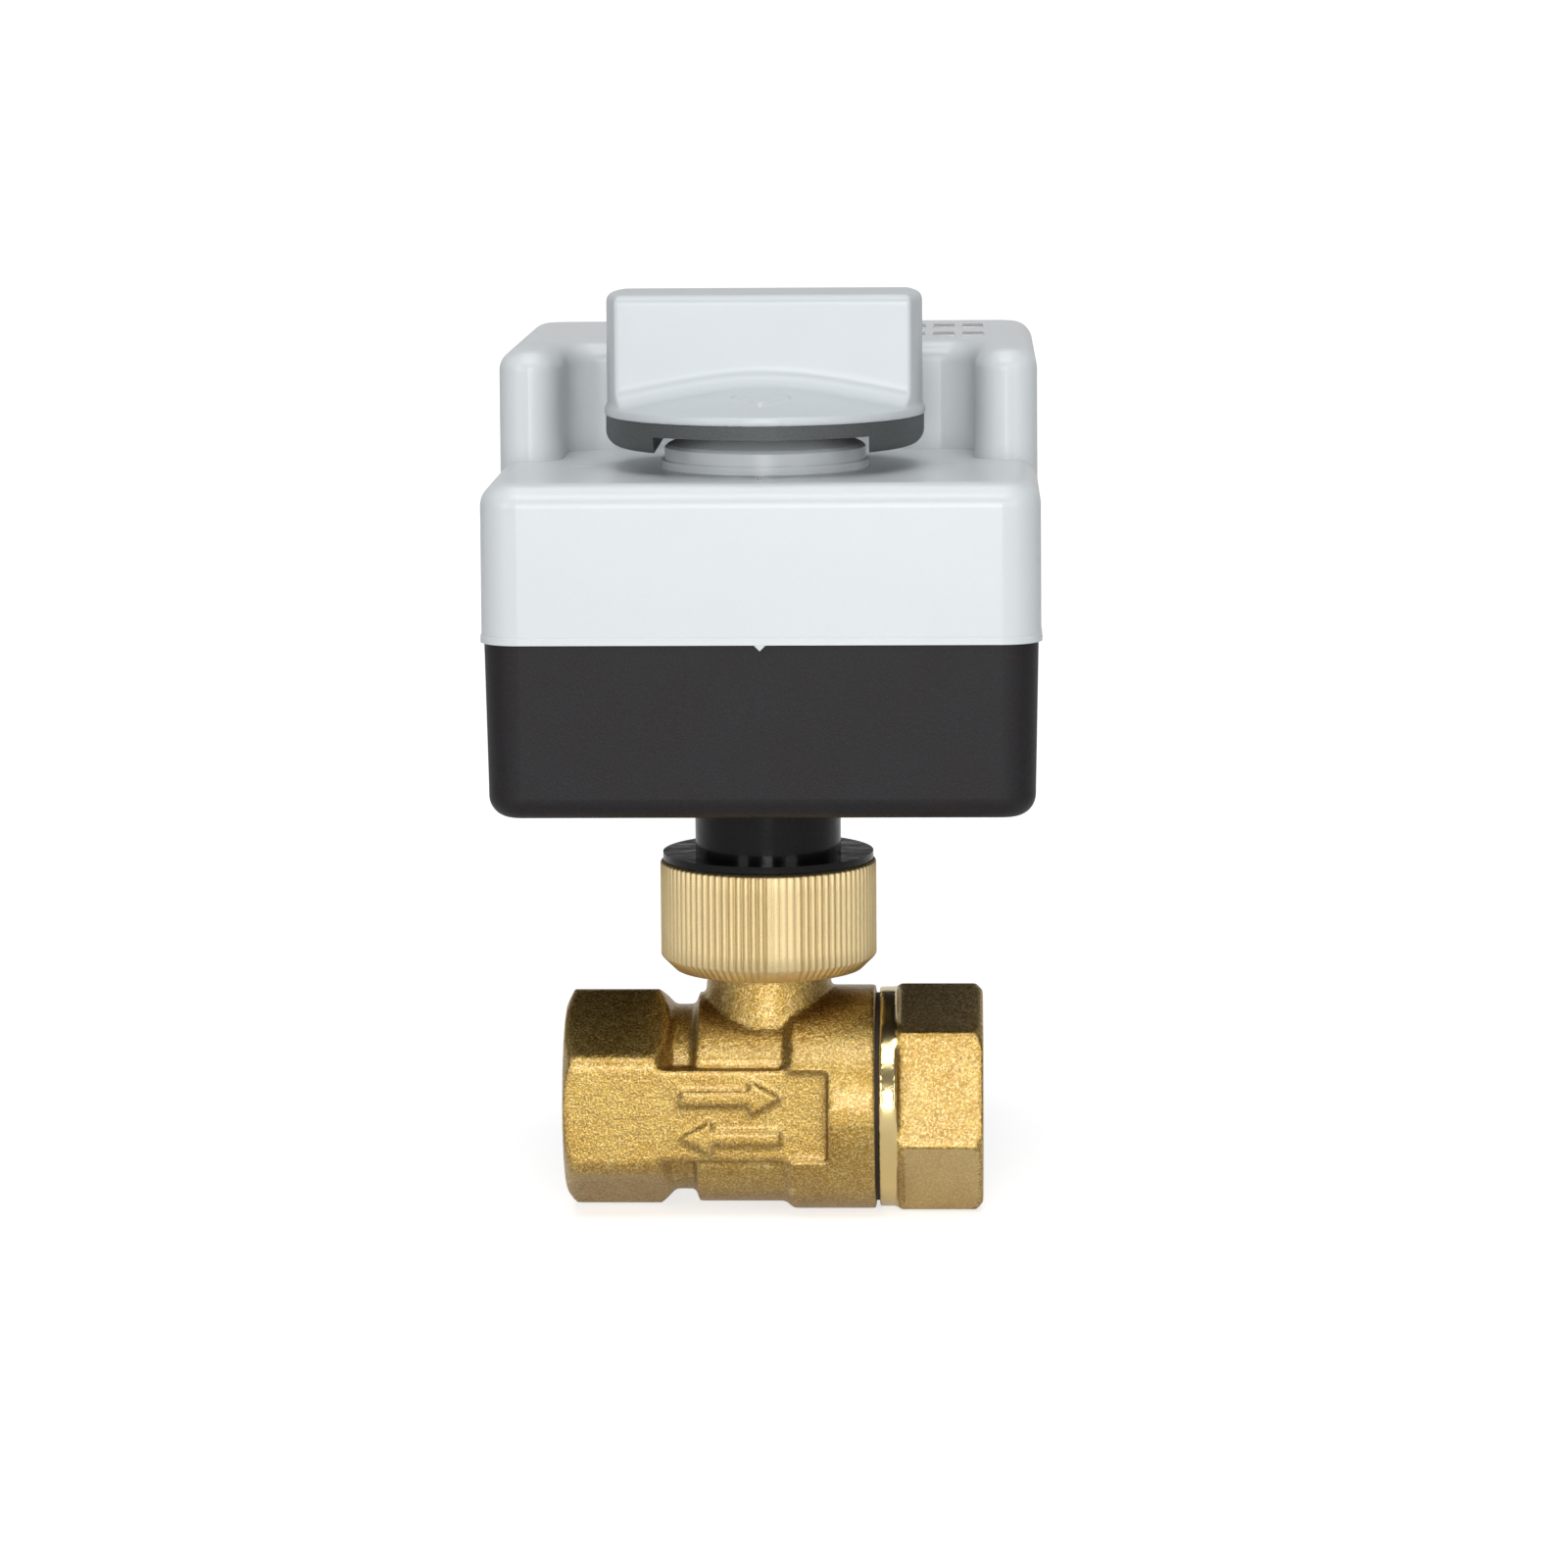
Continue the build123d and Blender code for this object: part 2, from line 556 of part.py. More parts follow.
def stem_washer():
    return cylinder(STEM_FOOT_RADIUS, STEM_FOOT_TOP + 0.05, STEM_FOOT_TOP + STEM_WASHER_THICKNESS,
                    inner=STEM_RADIUS + 0.1)


def stem_seals():
    return group([Pos(0, 0, z) * Torus(STEM_RADIUS - STEM_RING_SECTION, STEM_RING_SECTION)
                  for z in STEM_RING_HEIGHTS])


# ---------------------------------------------------------------- coupling
def coupling_nut():
    lip = NECK_LOWER_RADIUS + NUT_LIP_CLEARANCE
    thread = TOWER_HEAD_RADIUS + NUT_THREAD_CLEARANCE
    nut = turned([
        (thread, NUT_BOTTOM), (NUT_RADIUS - NUT_CHAMFER, NUT_BOTTOM), (NUT_RADIUS, NUT_BOTTOM + NUT_CHAMFER),
        (NUT_RADIUS, NUT_TOP - 0.3), (NUT_RADIUS - 0.3, NUT_TOP), (lip, NUT_TOP), (lip, NUT_LIP_BOTTOM),
        (thread, NUT_LIP_BOTTOM)])
    flute_radius = pi * NUT_RADIUS / NUT_FLUTES * 0.52
    flutes = Sketch()
    plain_direction = -90 + NUT_SMOOTH_ANGLE
    for number in range(NUT_FLUTES):
        direction = 360 * number / NUT_FLUTES
        away = abs((direction - plain_direction + 180) % 360 - 180)
        if away > 360 / NUT_FLUTES * NUT_SMOOTH_FLUTES / 2:
            x, y = polar(NUT_RADIUS + flute_radius - NUT_FLUTE_DEPTH, radians(direction))
            flutes += Pos(x, y) * Circle(flute_radius)
    return nut - Pos(0, 0, NUT_BOTTOM) * extrude(flutes, NUT_TOP - NUT_BOTTOM)


def mounting_neck():
    floor_top = CASE_BOTTOM + CASE_WALL
    flange_top = floor_top + NECK_FLANGE_THICKNESS
    neck = turned([
        (NECK_BORE, TOWER_TOP), (NECK_LOWER_RADIUS, TOWER_TOP), (NECK_LOWER_RADIUS, SNAP_RING_BOTTOM - 0.05),
        (SNAP_GROOVE_RADIUS, SNAP_RING_BOTTOM - 0.05), (SNAP_GROOVE_RADIUS, SNAP_RING_TOP + 0.05),
        (NECK_LOWER_RADIUS, SNAP_RING_TOP + 0.05), (NECK_LOWER_RADIUS, COVER_RING_TOP),
        (NECK_RADIUS, COVER_RING_TOP), (NECK_RADIUS, floor_top), (NECK_RADIUS + NECK_FLANGE_WIDTH, floor_top),
        (NECK_RADIUS + NECK_FLANGE_WIDTH, flange_top), (NECK_BORE, flange_top)])
    for x in (-LOCATING_PIN_CIRCLE, LOCATING_PIN_CIRCLE):
        neck -= cylinder(LOCATING_PIN_RADIUS, TOWER_TOP, LOCATING_PIN_TOP, x=x)
    for x, y in neck_screw_places():
        neck -= cylinder(PLATE_SCREW_RADIUS + SCREW_HOLE_CLEARANCE, floor_top, flange_top, x=x, y=y)
    return neck


def neck_screw_places():
    return [polar(NECK_RADIUS + NECK_FLANGE_WIDTH / 2, radians(90 + 120 * k)) for k in range(3)]


def neck_screws():
    seat_height = CASE_BOTTOM + CASE_WALL + NECK_FLANGE_THICKNESS
    return group([screw(x, y, seat_height, CASE_BOTTOM + 0.5, PLATE_SCREW_RADIUS, 2.0, 1.3)
                  for x, y in neck_screw_places()])


def nut_cover_ring():
    return cylinder(COVER_RING_RADIUS, COVER_RING_BOTTOM, COVER_RING_TOP, inner=NECK_LOWER_RADIUS)


def snap_ring():
    ring = cylinder(SNAP_RING_RADIUS, SNAP_RING_BOTTOM, SNAP_RING_TOP, inner=SNAP_GROOVE_RADIUS)
    gap_width = 2 * SNAP_RING_RADIUS * sin(radians(SNAP_RING_GAP / 2))
    gap = block((-gap_width / 2, gap_width / 2), (0, SNAP_RING_RADIUS + 1),
                (SNAP_RING_BOTTOM - 1, SNAP_RING_TOP + 1))
    return ring - gap


def locating_pins():
    return group([cylinder(LOCATING_PIN_RADIUS, LOCATING_PIN_BOTTOM, LOCATING_PIN_TOP, x=x)
                  for x in (-LOCATING_PIN_CIRCLE, LOCATING_PIN_CIRCLE)])


def drive_coupler():
    coupler = cylinder(COUPLER_RADIUS, COUPLER_BOTTOM, COUPLER_TOP)
    split = (STEM_TOP + SHAFT_BOTTOM) / 2
    coupler -= square_bar(STEM_SQUARE + SOCKET_CLEARANCE, COUPLER_BOTTOM, split)
    return coupler - square_bar(SHAFT_SQUARE + SOCKET_CLEARANCE, split, COUPLER_TOP)


def output_shaft():
    shaft = cylinder(SHAFT_RADIUS, SHAFT_LOWER_SQUARE_TOP, SHAFT_UPPER_SQUARE)
    round_stock = SHAFT_RADIUS - 0.2
    for bottom, top in ((SHAFT_BOTTOM, SHAFT_LOWER_SQUARE_TOP), (SHAFT_UPPER_SQUARE, SHAFT_TOP)):
        shaft += square_bar(SHAFT_SQUARE, bottom, top) & cylinder(round_stock, bottom, top)
    groove_top = clip_top() + 0.05
    return shaft - cylinder(SHAFT_RADIUS + 1, groove_top - CLIP_THICKNESS - 0.1, groove_top,
                            inner=CLIP_GROOVE_RADIUS)


def lower_bush():
    flange_bottom = CASE_BOTTOM + CASE_WALL + NECK_FLANGE_THICKNESS
    bore = SHAFT_RADIUS + RUNNING_CLEARANCE
    return (cylinder(NECK_BORE, LOWER_BUSH_BOTTOM, flange_bottom, inner=bore)
            + cylinder(LOWER_BUSH_FLANGE, flange_bottom, flange_bottom + LOWER_BUSH_FLANGE_THICKNESS, inner=bore))


# ---------------------------------------------------------------- housing
def case_outline(inset=0.0):
    """The plan of the housing at the parting line."""
    depth = CASE_BACK - CASE_FRONT
    outline = RectangleRounded(CASE_WIDTH - 2 * inset, depth - 2 * inset, CASE_CORNER - inset * 0.8)
    return Pos(0, (CASE_FRONT + CASE_BACK) / 2) * outline


def raised_outline(inset=0.0):
    """The plan of the raised back part, with the knob's bay between its two arms."""
    bay = Pos(0, BAY_BACK + inset - 50) * Rectangle(2 * (BAY_HALF_WIDTH + inset), 100)
    front = Pos(0, ARM_FRONT + inset - 50) * Rectangle(CASE_WIDTH + 10, 100)
    outline = case_outline(inset) - front - bay
    arm = CASE_WIDTH / 2 - BAY_HALF_WIDTH - 2 * inset
    tips = outline.vertices().filter_by(lambda v: abs(v.Y - ARM_FRONT - inset) < 0.01)
    outline = fillet(tips, arm / 2 - 0.05)
    corners = outline.vertices().filter_by(
        lambda v: abs(v.Y - BAY_BACK - inset) < 0.01 and abs(v.X) < BAY_HALF_WIDTH + inset + 0.01)
    return fillet(corners, BAY_CORNER + inset)


def drafted(outline, height, upwards, draft=CASE_DRAFT):
    """An outline at the parting line drawn up or down with a draft."""
    return Pos(0, 0, CASE_PARTING) * extrude(outline, height if upwards else -height, taper=draft)


def case_screw_places():
    return [(x, y) for x in (-CASE_SCREW_X, CASE_SCREW_X) for y in CASE_SCREW_Y]


def nib(clearance=0.0):
    """The triangular locating nib under the cover's front wall."""
    half, height = NIB_WIDTH / 2 + clearance, NIB_HEIGHT + clearance
    outline = Polygon((-half, 0), (0, -height), (half, 0), align=None)
    root = CASE_FRONT + CASE_WALL - REBATE_WIDTH - 0.1
    face = Plane(origin=(0, root, CASE_PARTING), x_dir=(1, 0, 0), z_dir=(0, -1, 0))
    return extrude(face * outline, root - CASE_FRONT + COVER_OVERHANG)


def base_housing():
    height = CASE_PARTING - CASE_BOTTOM
    base = drafted(case_outline(), height, upwards=False)
    base = fillet(base.faces().sort_by(Axis.Z)[0].edges(), BOTTOM_FILLET)
    base -= drafted(case_outline(CASE_WALL), height - CASE_WALL, upwards=False)
    rebate = case_outline(CASE_WALL - REBATE_WIDTH)
    base -= Pos(0, 0, CASE_PARTING - REBATE_DEPTH) * extrude(rebate, REBATE_DEPTH)
    floor_top = CASE_BOTTOM + CASE_WALL
    inside = Pos(0, 0, floor_top - 0.5) * extrude(case_outline(CASE_WALL - 0.5), height - CASE_WALL - REBATE_DEPTH)
    columns = Sketch() + [Pos(x, y) * Circle(BOSS_RADIUS) for x, y in case_screw_places()]
    column_top = CASE_PARTING - REBATE_DEPTH
    base += (Pos(0, 0, floor_top - 0.5) * extrude(columns, column_top - floor_top + 0.5)) & inside
    for x, y in PLATE_POSTS:
        base += cylinder(PLATE_POST_RADIUS, floor_top - 0.5, PLATE_BOTTOM, x=x, y=y)
        base -= cylinder(PLATE_SCREW_RADIUS + 0.02, PLATE_BOTTOM - PLATE_SCREW_LENGTH, PLATE_BOTTOM, x=x, y=y)
    idler_x, idler_y = idler_centre()
    base += cylinder(3.0, floor_top - 0.5, OUTPUT_GEAR_BOTTOM - IDLER_STEP, x=idler_x, y=idler_y)
    base -= cylinder(IDLER_PIN_RADIUS, IDLER_PIN_BOTTOM, OUTPUT_GEAR_BOTTOM, x=idler_x, y=idler_y)
    for x, y in case_screw_places():
        base -= cylinder(CASE_SCREW_RADIUS + SCREW_HOLE_CLEARANCE, CASE_BOTTOM, CASE_PARTING, x=x, y=y)
        base -= cylinder(CASE_SCREW_HEAD + SCREW_HOLE_CLEARANCE, CASE_BOTTOM, CASE_SCREW_SEAT, x=x, y=y)
    base -= cylinder(NECK_RADIUS, CASE_BOTTOM - 1, floor_top)
    for x, y in neck_screw_places():
        base -= cylinder(PLATE_SCREW_RADIUS + 0.02, CASE_BOTTOM + 0.4, floor_top + 1, x=x, y=y)
    base -= cylinder_y(GLAND_HOLE, CASE_BACK - CASE_WALL - 2, CASE_BACK + 1, GLAND_X, GLAND_Z)
    base -= cylinder_y(GLAND_SPOT_RADIUS, gland_face(), CASE_BACK + 1, GLAND_X, GLAND_Z)
    return base - nib(NIB_CLEARANCE)


def cover():
    low = drafted(case_outline(-COVER_OVERHANG), CASE_STEP_TOP - CASE_PARTING, upwards=True, draft=COVER_DRAFT)
    low = fillet(low.faces().sort_by(Axis.Z)[-1].edges(), STEP_FILLET)
    raised = drafted(raised_outline(-COVER_OVERHANG), CASE_TOP - CASE_PARTING, upwards=True, draft=COVER_DRAFT)
    raised = fillet(raised.faces().sort_by(Axis.Z)[-1].edges(), TOP_FILLET)
    shell = low + raised
    shell -= drafted(case_outline(CASE_WALL), CASE_STEP_TOP - CASE_WALL - CASE_PARTING, upwards=True)
    shell -= drafted(raised_outline(CASE_WALL), CASE_TOP - CASE_WALL - CASE_PARTING, upwards=True)
    bead = drafted(case_outline(-COVER_OVERHANG - BEAD_RELIEF), BEAD_HEIGHT, upwards=True)
    bead = chamfer(bead.faces().sort_by(Axis.Z)[-1].edges(), BEAD_RELIEF * 0.75)
    shell += bead - drafted(case_outline(CASE_WALL / 2), BEAD_HEIGHT, upwards=True)
    outer_gap = CASE_WALL - REBATE_WIDTH + TONGUE_CLEARANCE
    tongue = case_outline(outer_gap) - case_outline(outer_gap + TONGUE_WIDTH)
    tongue_bottom = CASE_PARTING - REBATE_DEPTH + SEAL_THICKNESS
    shell += Pos(0, 0, tongue_bottom) * extrude(tongue, CASE_PARTING - tongue_bottom)
    for x, y in case_screw_places():
        ceiling = (CASE_STEP_TOP if y < 0 else CASE_TOP) - CASE_WALL
        top = min(ceiling + 0.5, CASE_SCREW_TOP + 8.5)
        boss_bottom = CASE_PARTING - REBATE_DEPTH + 0.05
        column = cylinder(BOSS_RADIUS, boss_bottom, top, x=x, y=y)
        column &= Pos(0, 0, boss_bottom) * extrude(case_outline(CASE_WALL + 0.05), top - boss_bottom)
        reach = BOSS_RADIUS + 3
        web_x = sorted((x, x + (reach if x > 0 else -reach)))
        web = block(web_x, (y - 1.0, y + 1.0), (CASE_PARTING + 1, top))
        web &= drafted(case_outline(0.6), top - CASE_PARTING, upwards=True)
        shell += column + web
        shell -= cylinder(CASE_SCREW_RADIUS + 0.02, boss_bottom - 1, CASE_SCREW_TOP + 0.5, x=x, y=y)
    shell += cylinder(COLLAR_FOOT_RADIUS, CASE_STEP_TOP - CASE_WALL, COLLAR_FOOT_TOP)
    shell += cylinder(COLLAR_RADIUS, CASE_STEP_TOP, COLLAR_TOP - 0.5)
    shell += turned([(0, COLLAR_TOP - 0.6), (COLLAR_RADIUS, COLLAR_TOP - 0.6), (COLLAR_RADIUS, COLLAR_TOP - 0.4),
                     (COLLAR_RADIUS - 0.4, COLLAR_TOP), (0, COLLAR_TOP)])
    shell += turned([(COLLAR_RIM_INNER, COLLAR_TOP - 0.3), (COLLAR_RADIUS - 0.4, COLLAR_TOP - 0.3),
                     (COLLAR_RADIUS - 0.4, COLLAR_TOP), (COLLAR_RIM_RADIUS, COLLAR_RIM_TOP),
                     (COLLAR_RIM_INNER, COLLAR_RIM_TOP)])
    shell -= cylinder(UPPER_BUSH_RADIUS, CASE_STEP_TOP - CASE_WALL - 1, COLLAR_TOP + 1)
    for angle in TICK_ANGLES:
        tick = Pos(TICK_RADIUS, 0, CASE_STEP_TOP) * Box(TICK_LENGTH, TICK_WIDTH, 2 * TICK_DEPTH)
        if angle == 270:
            tick = Pos(TICK_RADIUS - 7.0, 0, CASE_STEP_TOP) * Box(TICK_LENGTH, TICK_WIDTH, 2 * TICK_DEPTH)
        shell -= Rot(0, 0, angle) * tick
    for y in DASH_ROWS:
        for x in DASH_PLACES:
            shell += Pos(x, y, CASE_TOP) * Box(DASH_LENGTH, DASH_WIDTH, 2 * DASH_RELIEF)
    return shell + nib()


def housing_seal():
    outer_gap = CASE_WALL - REBATE_WIDTH + TONGUE_CLEARANCE
    ring = case_outline(outer_gap) - case_outline(outer_gap + TONGUE_WIDTH)
    bottom = CASE_PARTING - REBATE_DEPTH
    return Pos(0, 0, bottom) * extrude(ring, SEAL_THICKNESS)


def case_screws():
    return group([screw(x, y, CASE_SCREW_SEAT, CASE_SCREW_TOP, CASE_SCREW_RADIUS, CASE_SCREW_HEAD,
                        CASE_SCREW_HEAD_HEIGHT) for x, y in case_screw_places()])


def upper_bush():
    ceiling = CASE_STEP_TOP - CASE_WALL
    bore = SHAFT_RADIUS + RUNNING_CLEARANCE
    return (cylinder(UPPER_BUSH_RADIUS, ceiling, UPPER_BUSH_TOP, inner=bore)
            + cylinder(UPPER_BUSH_FLANGE, ceiling - UPPER_BUSH_FLANGE_THICKNESS, ceiling, inner=bore))


def clip_top():
    return CASE_STEP_TOP - CASE_WALL - UPPER_BUSH_FLANGE_THICKNESS - CLIP_GAP


def shaft_clip():
    top = clip_top()
    ring = cylinder(CLIP_RADIUS, top - CLIP_THICKNESS, top, inner=CLIP_GROOVE_RADIUS)
    mouth = CLIP_GROOVE_RADIUS * 0.85
    return ring - block((-mouth, mouth), (-CLIP_RADIUS - 1, 0), (top - CLIP_THICKNESS - 1, top + 1))


# ---------------------------------------------------------------- knob
def knob_cap():
    rim_top = KNOB_BOTTOM + KNOB_RIM
    apex = rim_top + KNOB_RADIUS * KNOB_CONE_RISE
    dome = turned([(0, KNOB_BOTTOM), (KNOB_RADIUS, KNOB_BOTTOM), (KNOB_RADIUS, rim_top), (0, apex)])
    grip = Pos(0, 0, rim_top) * extrude(
        Circle(GRIP_RADIUS) & Rectangle(2 * KNOB_RADIUS, 2 * GRIP_HALF_DEPTH), KNOB_TOP - rim_top)
    cap = dome + grip
    on_grip_face = cap.edges().filter_by(lambda e: abs(abs(e.center().Y) - GRIP_HALF_DEPTH) < 0.05)
    cap = fillet(on_grip_face.filter_by(GeomType.HYPERBOLA), GRIP_ROOT_FILLET)
    cap = fillet(cap.faces().sort_by(Axis.Z)[-1].edges(), GRIP_FILLET)
    hollow_depth = GRIP_HALF_DEPTH - KNOB_WALL
    hollow = Pos(0, 0, KNOB_BOTTOM) * extrude(
        Circle(GRIP_RADIUS - KNOB_WALL) & Rectangle(2 * KNOB_RADIUS, 2 * hollow_depth),
        KNOB_TOP - KNOB_WALL - KNOB_BOTTOM)
    cap -= hollow - cylinder(KNOB_HUB_RADIUS, KNOB_BOTTOM, KNOB_TOP)
    cap += cylinder(KNOB_HUB_RADIUS, KNOB_HUB_BOTTOM, KNOB_BOTTOM + 1)
    socket = SHAFT_SQUARE + SOCKET_CLEARANCE
    cap -= square_bar(socket, SHAFT_UPPER_SQUARE, SHAFT_TOP + 0.2)
    cap -= cylinder(SHAFT_RADIUS + SOCKET_CLEARANCE, KNOB_HUB_BOTTOM - 1, SHAFT_UPPER_SQUARE + 0.1)
    return cap + chevron()


def chevron():
    """The raised pointer on the front of the knob's dome, standing on the cone."""
    half, stroke = CHEVRON_HALF_WIDTH, CHEVRON_STROKE
    back = CHEVRON_TIP + CHEVRON_DEPTH
    outline = Polygon(
        (-half, back), (0, CHEVRON_TIP), (half, back), (half, back + stroke),
        (0, CHEVRON_TIP + stroke), (-half, back + stroke), align=None)
    rim_top = KNOB_BOTTOM + KNOB_RIM
    prism = Pos(0, 0, rim_top) * extrude(outline, 6)
    lift = CHEVRON_RELIEF
    apex = rim_top + KNOB_RADIUS * KNOB_CONE_RISE
    return prism & turned([(0, rim_top - 1), (KNOB_RADIUS, rim_top - 1), (KNOB_RADIUS, rim_top + lift),
                           (0, apex + lift)])


def knob_base():
    """The dark lower half of the knob: a disc with two lobes that pass on each side of the collar."""
    bowl = cylinder(KNOB_BASE_RADIUS, KNOB_LOBE_BOTTOM, KNOB_BOTTOM)
    bowl = fillet(bowl.faces().sort_by(Axis.Z)[0].edges(), KNOB_LOBE_FILLET)
    channel = block((-KNOB_LOBE_INNER, KNOB_LOBE_INNER), (-KNOB_RADIUS, KNOB_RADIUS),
                    (KNOB_LOBE_BOTTOM - 1, KNOB_BASE_DISC_BOTTOM))
    base = bowl - channel + cylinder(KNOB_BASE_BOSS_RADIUS, KNOB_BASE_BOSS_BOTTOM, KNOB_BOTTOM)
    return base - cylinder(KNOB_HUB_RADIUS, KNOB_LOBE_BOTTOM - 1, KNOB_BOTTOM + 1)


# ---------------------------------------------------------------- drive
def idler_centre():
    return polar(MODULE * (OUTPUT_TEETH + PINION_TEETH) / 2, IDLER_DIRECTION)


def pinion_centre():
    x, y = idler_centre()
    dx, dy = polar(MODULE * (IDLER_TEETH + PINION_TEETH) / 2, PINION_DIRECTION)
    return (x + dx, y + dy)


def output_gear_top():
    return OUTPUT_GEAR_BOTTOM + OUTPUT_GEAR_THICKNESS


def output_gear():
    gear = spur_gear(OUTPUT_TEETH, OUTPUT_GEAR_BOTTOM, output_gear_top(), IDLER_DIRECTION)
    gear += cylinder(GEAR_HUB_RADIUS, output_gear_top(), output_gear_top() + 3.0)
    ring_depth = 1.2
    for bottom in (OUTPUT_GEAR_BOTTOM, output_gear_top() - ring_depth):
        gear -= cylinder(MODULE * OUTPUT_TEETH / 2 - 3.5, bottom, bottom + ring_depth, inner=GEAR_HUB_RADIUS + 1)
    return gear - cylinder(SHAFT_RADIUS, OUTPUT_GEAR_BOTTOM - 1, output_gear_top() + 4)


def idler_gear():
    half_tooth = pi / PINION_TEETH
    wheel_bottom = output_gear_top() + IDLER_STEP
    idler = spur_gear(PINION_TEETH, OUTPUT_GEAR_BOTTOM, wheel_bottom, IDLER_DIRECTION + pi + half_tooth)
    idler += spur_gear(IDLER_TEETH, wheel_bottom, wheel_bottom + IDLER_WHEEL_THICKNESS, PINION_DIRECTION)
    idler -= cylinder(IDLER_PIN_RADIUS + RUNNING_CLEARANCE, OUTPUT_GEAR_BOTTOM - 1, wheel_bottom + 10)
    return Pos(*idler_centre()) * idler


def motor_pinion():
    half_tooth = pi / PINION_TEETH
    wheel_bottom = output_gear_top() + IDLER_STEP
    top = wheel_bottom + IDLER_WHEEL_THICKNESS
    pinion = spur_gear(PINION_TEETH, wheel_bottom, top + 0.6, PINION_DIRECTION + pi + half_tooth)
    pinion += cylinder(MOTOR_SHAFT_RADIUS, top, PLATE_BOTTOM + PLATE_THICKNESS + 4.0)
    return Pos(*pinion_centre()) * pinion


def idler_pin():
    x, y = idler_centre()
    return cylinder(IDLER_PIN_RADIUS, IDLER_PIN_BOTTOM, PLATE_BOTTOM + PLATE_THICKNESS, x=x, y=y)


def gear_plate():
    middle = (PLATE_FRONT + PLATE_BACK) / 2
    outline = Pos(0, middle) * RectangleRounded(2 * PLATE_HALF_WIDTH, PLATE_BACK - PLATE_FRONT, PLATE_CORNER)
    outline -= Circle(SHAFT_RADIUS + 2 * RUNNING_CLEARANCE)
    outline -= Pos(*idler_centre()) * Circle(IDLER_PIN_RADIUS)
    outline -= Pos(*pinion_centre()) * Circle(MOTOR_BOSS_RADIUS + 0.1)
    for x, y in PLATE_POSTS:
        outline -= Pos(x, y) * Circle(PLATE_SCREW_RADIUS + SCREW_HOLE_CLEARANCE)
    for x in (-MOTOR_EAR_X, MOTOR_EAR_X):
        outline -= Pos(x, MOTOR_CENTRE[1]) * Circle(PLATE_SCREW_RADIUS)
    for y in SWITCH_SCREW_PLACES:
        outline -= Pos(SWITCH_SCREW_X, y) * Circle(SWITCH_SCREW_RADIUS)
    for x, y in BOARD_POSTS:
        outline -= Pos(x, y) * Circle(PLATE_SCREW_RADIUS)
    return Pos(0, 0, PLATE_BOTTOM) * extrude(outline, PLATE_THICKNESS)


def plate_screws():
    seat_height = PLATE_BOTTOM + PLATE_THICKNESS
    return group([screw(x, y, seat_height, PLATE_BOTTOM - PLATE_SCREW_LENGTH + 0.5, PLATE_SCREW_RADIUS,
                        PLATE_SCREW_HEAD, 1.5) for x, y in PLATE_POSTS])


def motor():
    """A synchronous motor can with its fixing ears and the boss round its off-centre shaft."""
    x, y = MOTOR_CENTRE
    bottom = PLATE_BOTTOM + PLATE_THICKNESS
    top = bottom + MOTOR_HEIGHT
    can = turned([(0, bottom), (MOTOR_RADIUS, bottom), (MOTOR_RADIUS, bottom + MOTOR_HEIGHT * 0.45),
                  (MOTOR_RADIUS - MOTOR_RIM, bottom + MOTOR_HEIGHT * 0.45 + MOTOR_RIM / 2),
                  (MOTOR_RADIUS - MOTOR_RIM, top - 1), (MOTOR_RADIUS - MOTOR_RIM - 1, top), (0, top)])
    strip = Rectangle(2 * MOTOR_EAR_X, 2 * MOTOR_EAR_RADIUS)
    for ear_x in (-MOTOR_EAR_X, MOTOR_EAR_X):
        strip += Pos(ear_x, 0) * Circle(MOTOR_EAR_RADIUS)
    can += Pos(0, 0, bottom) * extrude(strip, MOTOR_EAR_THICKNESS)
    can = Pos(x, y, 0) * can
    for ear_x in (-MOTOR_EAR_X, MOTOR_EAR_X):
        can -= cylinder(PLATE_SCREW_RADIUS + SCREW_HOLE_CLEARANCE, bottom - 1, bottom + 4, x=x + ear_x, y=y)
    shaft_x, shaft_y = pinion_centre()
    can += cylinder(MOTOR_BOSS_RADIUS, PLATE_BOTTOM, bottom + 1, x=shaft_x, y=shaft_y)
    return can - cylinder(MOTOR_SHAFT_RADIUS + RUNNING_CLEARANCE, PLATE_BOTTOM - 1, bottom + 5,
                          x=shaft_x, y=shaft_y)


def motor_screws():
    seat_height = PLATE_BOTTOM + PLATE_THICKNESS + MOTOR_EAR_THICKNESS
    return group([screw(MOTOR_CENTRE[0] + x, MOTOR_CENTRE[1], seat_height, PLATE_BOTTOM - 1.5,
                        PLATE_SCREW_RADIUS, PLATE_SCREW_HEAD, 1.5) for x in (-MOTOR_EAR_X, MOTOR_EAR_X)])


def cam_middle(number):
    return SWITCH_BOTTOM + SWITCH_SIZE[2] / 2 + number * SWITCH_PITCH


def limit_cam(number, rising):
    """A spiral cam whose radius changes evenly over the quarter turn that faces its switch."""
    steps, quarter, margin = 6, pi / 2, 0.12
    start, end = (0.0, CAM_RISE) if rising else (CAM_RISE, 0.0)

    def radius(angle):
        return CAM_RADIUS + start + (end - start) * angle / quarter

    angles = [-margin + (quarter + 2 * margin) * k / steps for k in range(steps + 1)]
    spiral = [polar(radius(a), a) for a in angles]
    outline = make_face([
        Spline(*spiral),
        Line(spiral[-1], polar(CAM_RADIUS, angles[-1] + 0.3)),
        ThreePointArc(polar(CAM_RADIUS, angles[-1] + 0.3), polar(CAM_RADIUS, pi + quarter / 2),
                      polar(CAM_RADIUS, 2 * pi + angles[0] - 0.3)),
        Line(polar(CAM_RADIUS, 2 * pi + angles[0] - 0.3), spiral[0])])
    middle = cam_middle(number)
    cam = Pos(0, 0, middle - CAM_THICKNESS / 2) * extrude(outline, CAM_THICKNESS)
    return cam - cylinder(SHAFT_RADIUS, middle - 5, middle + 5)


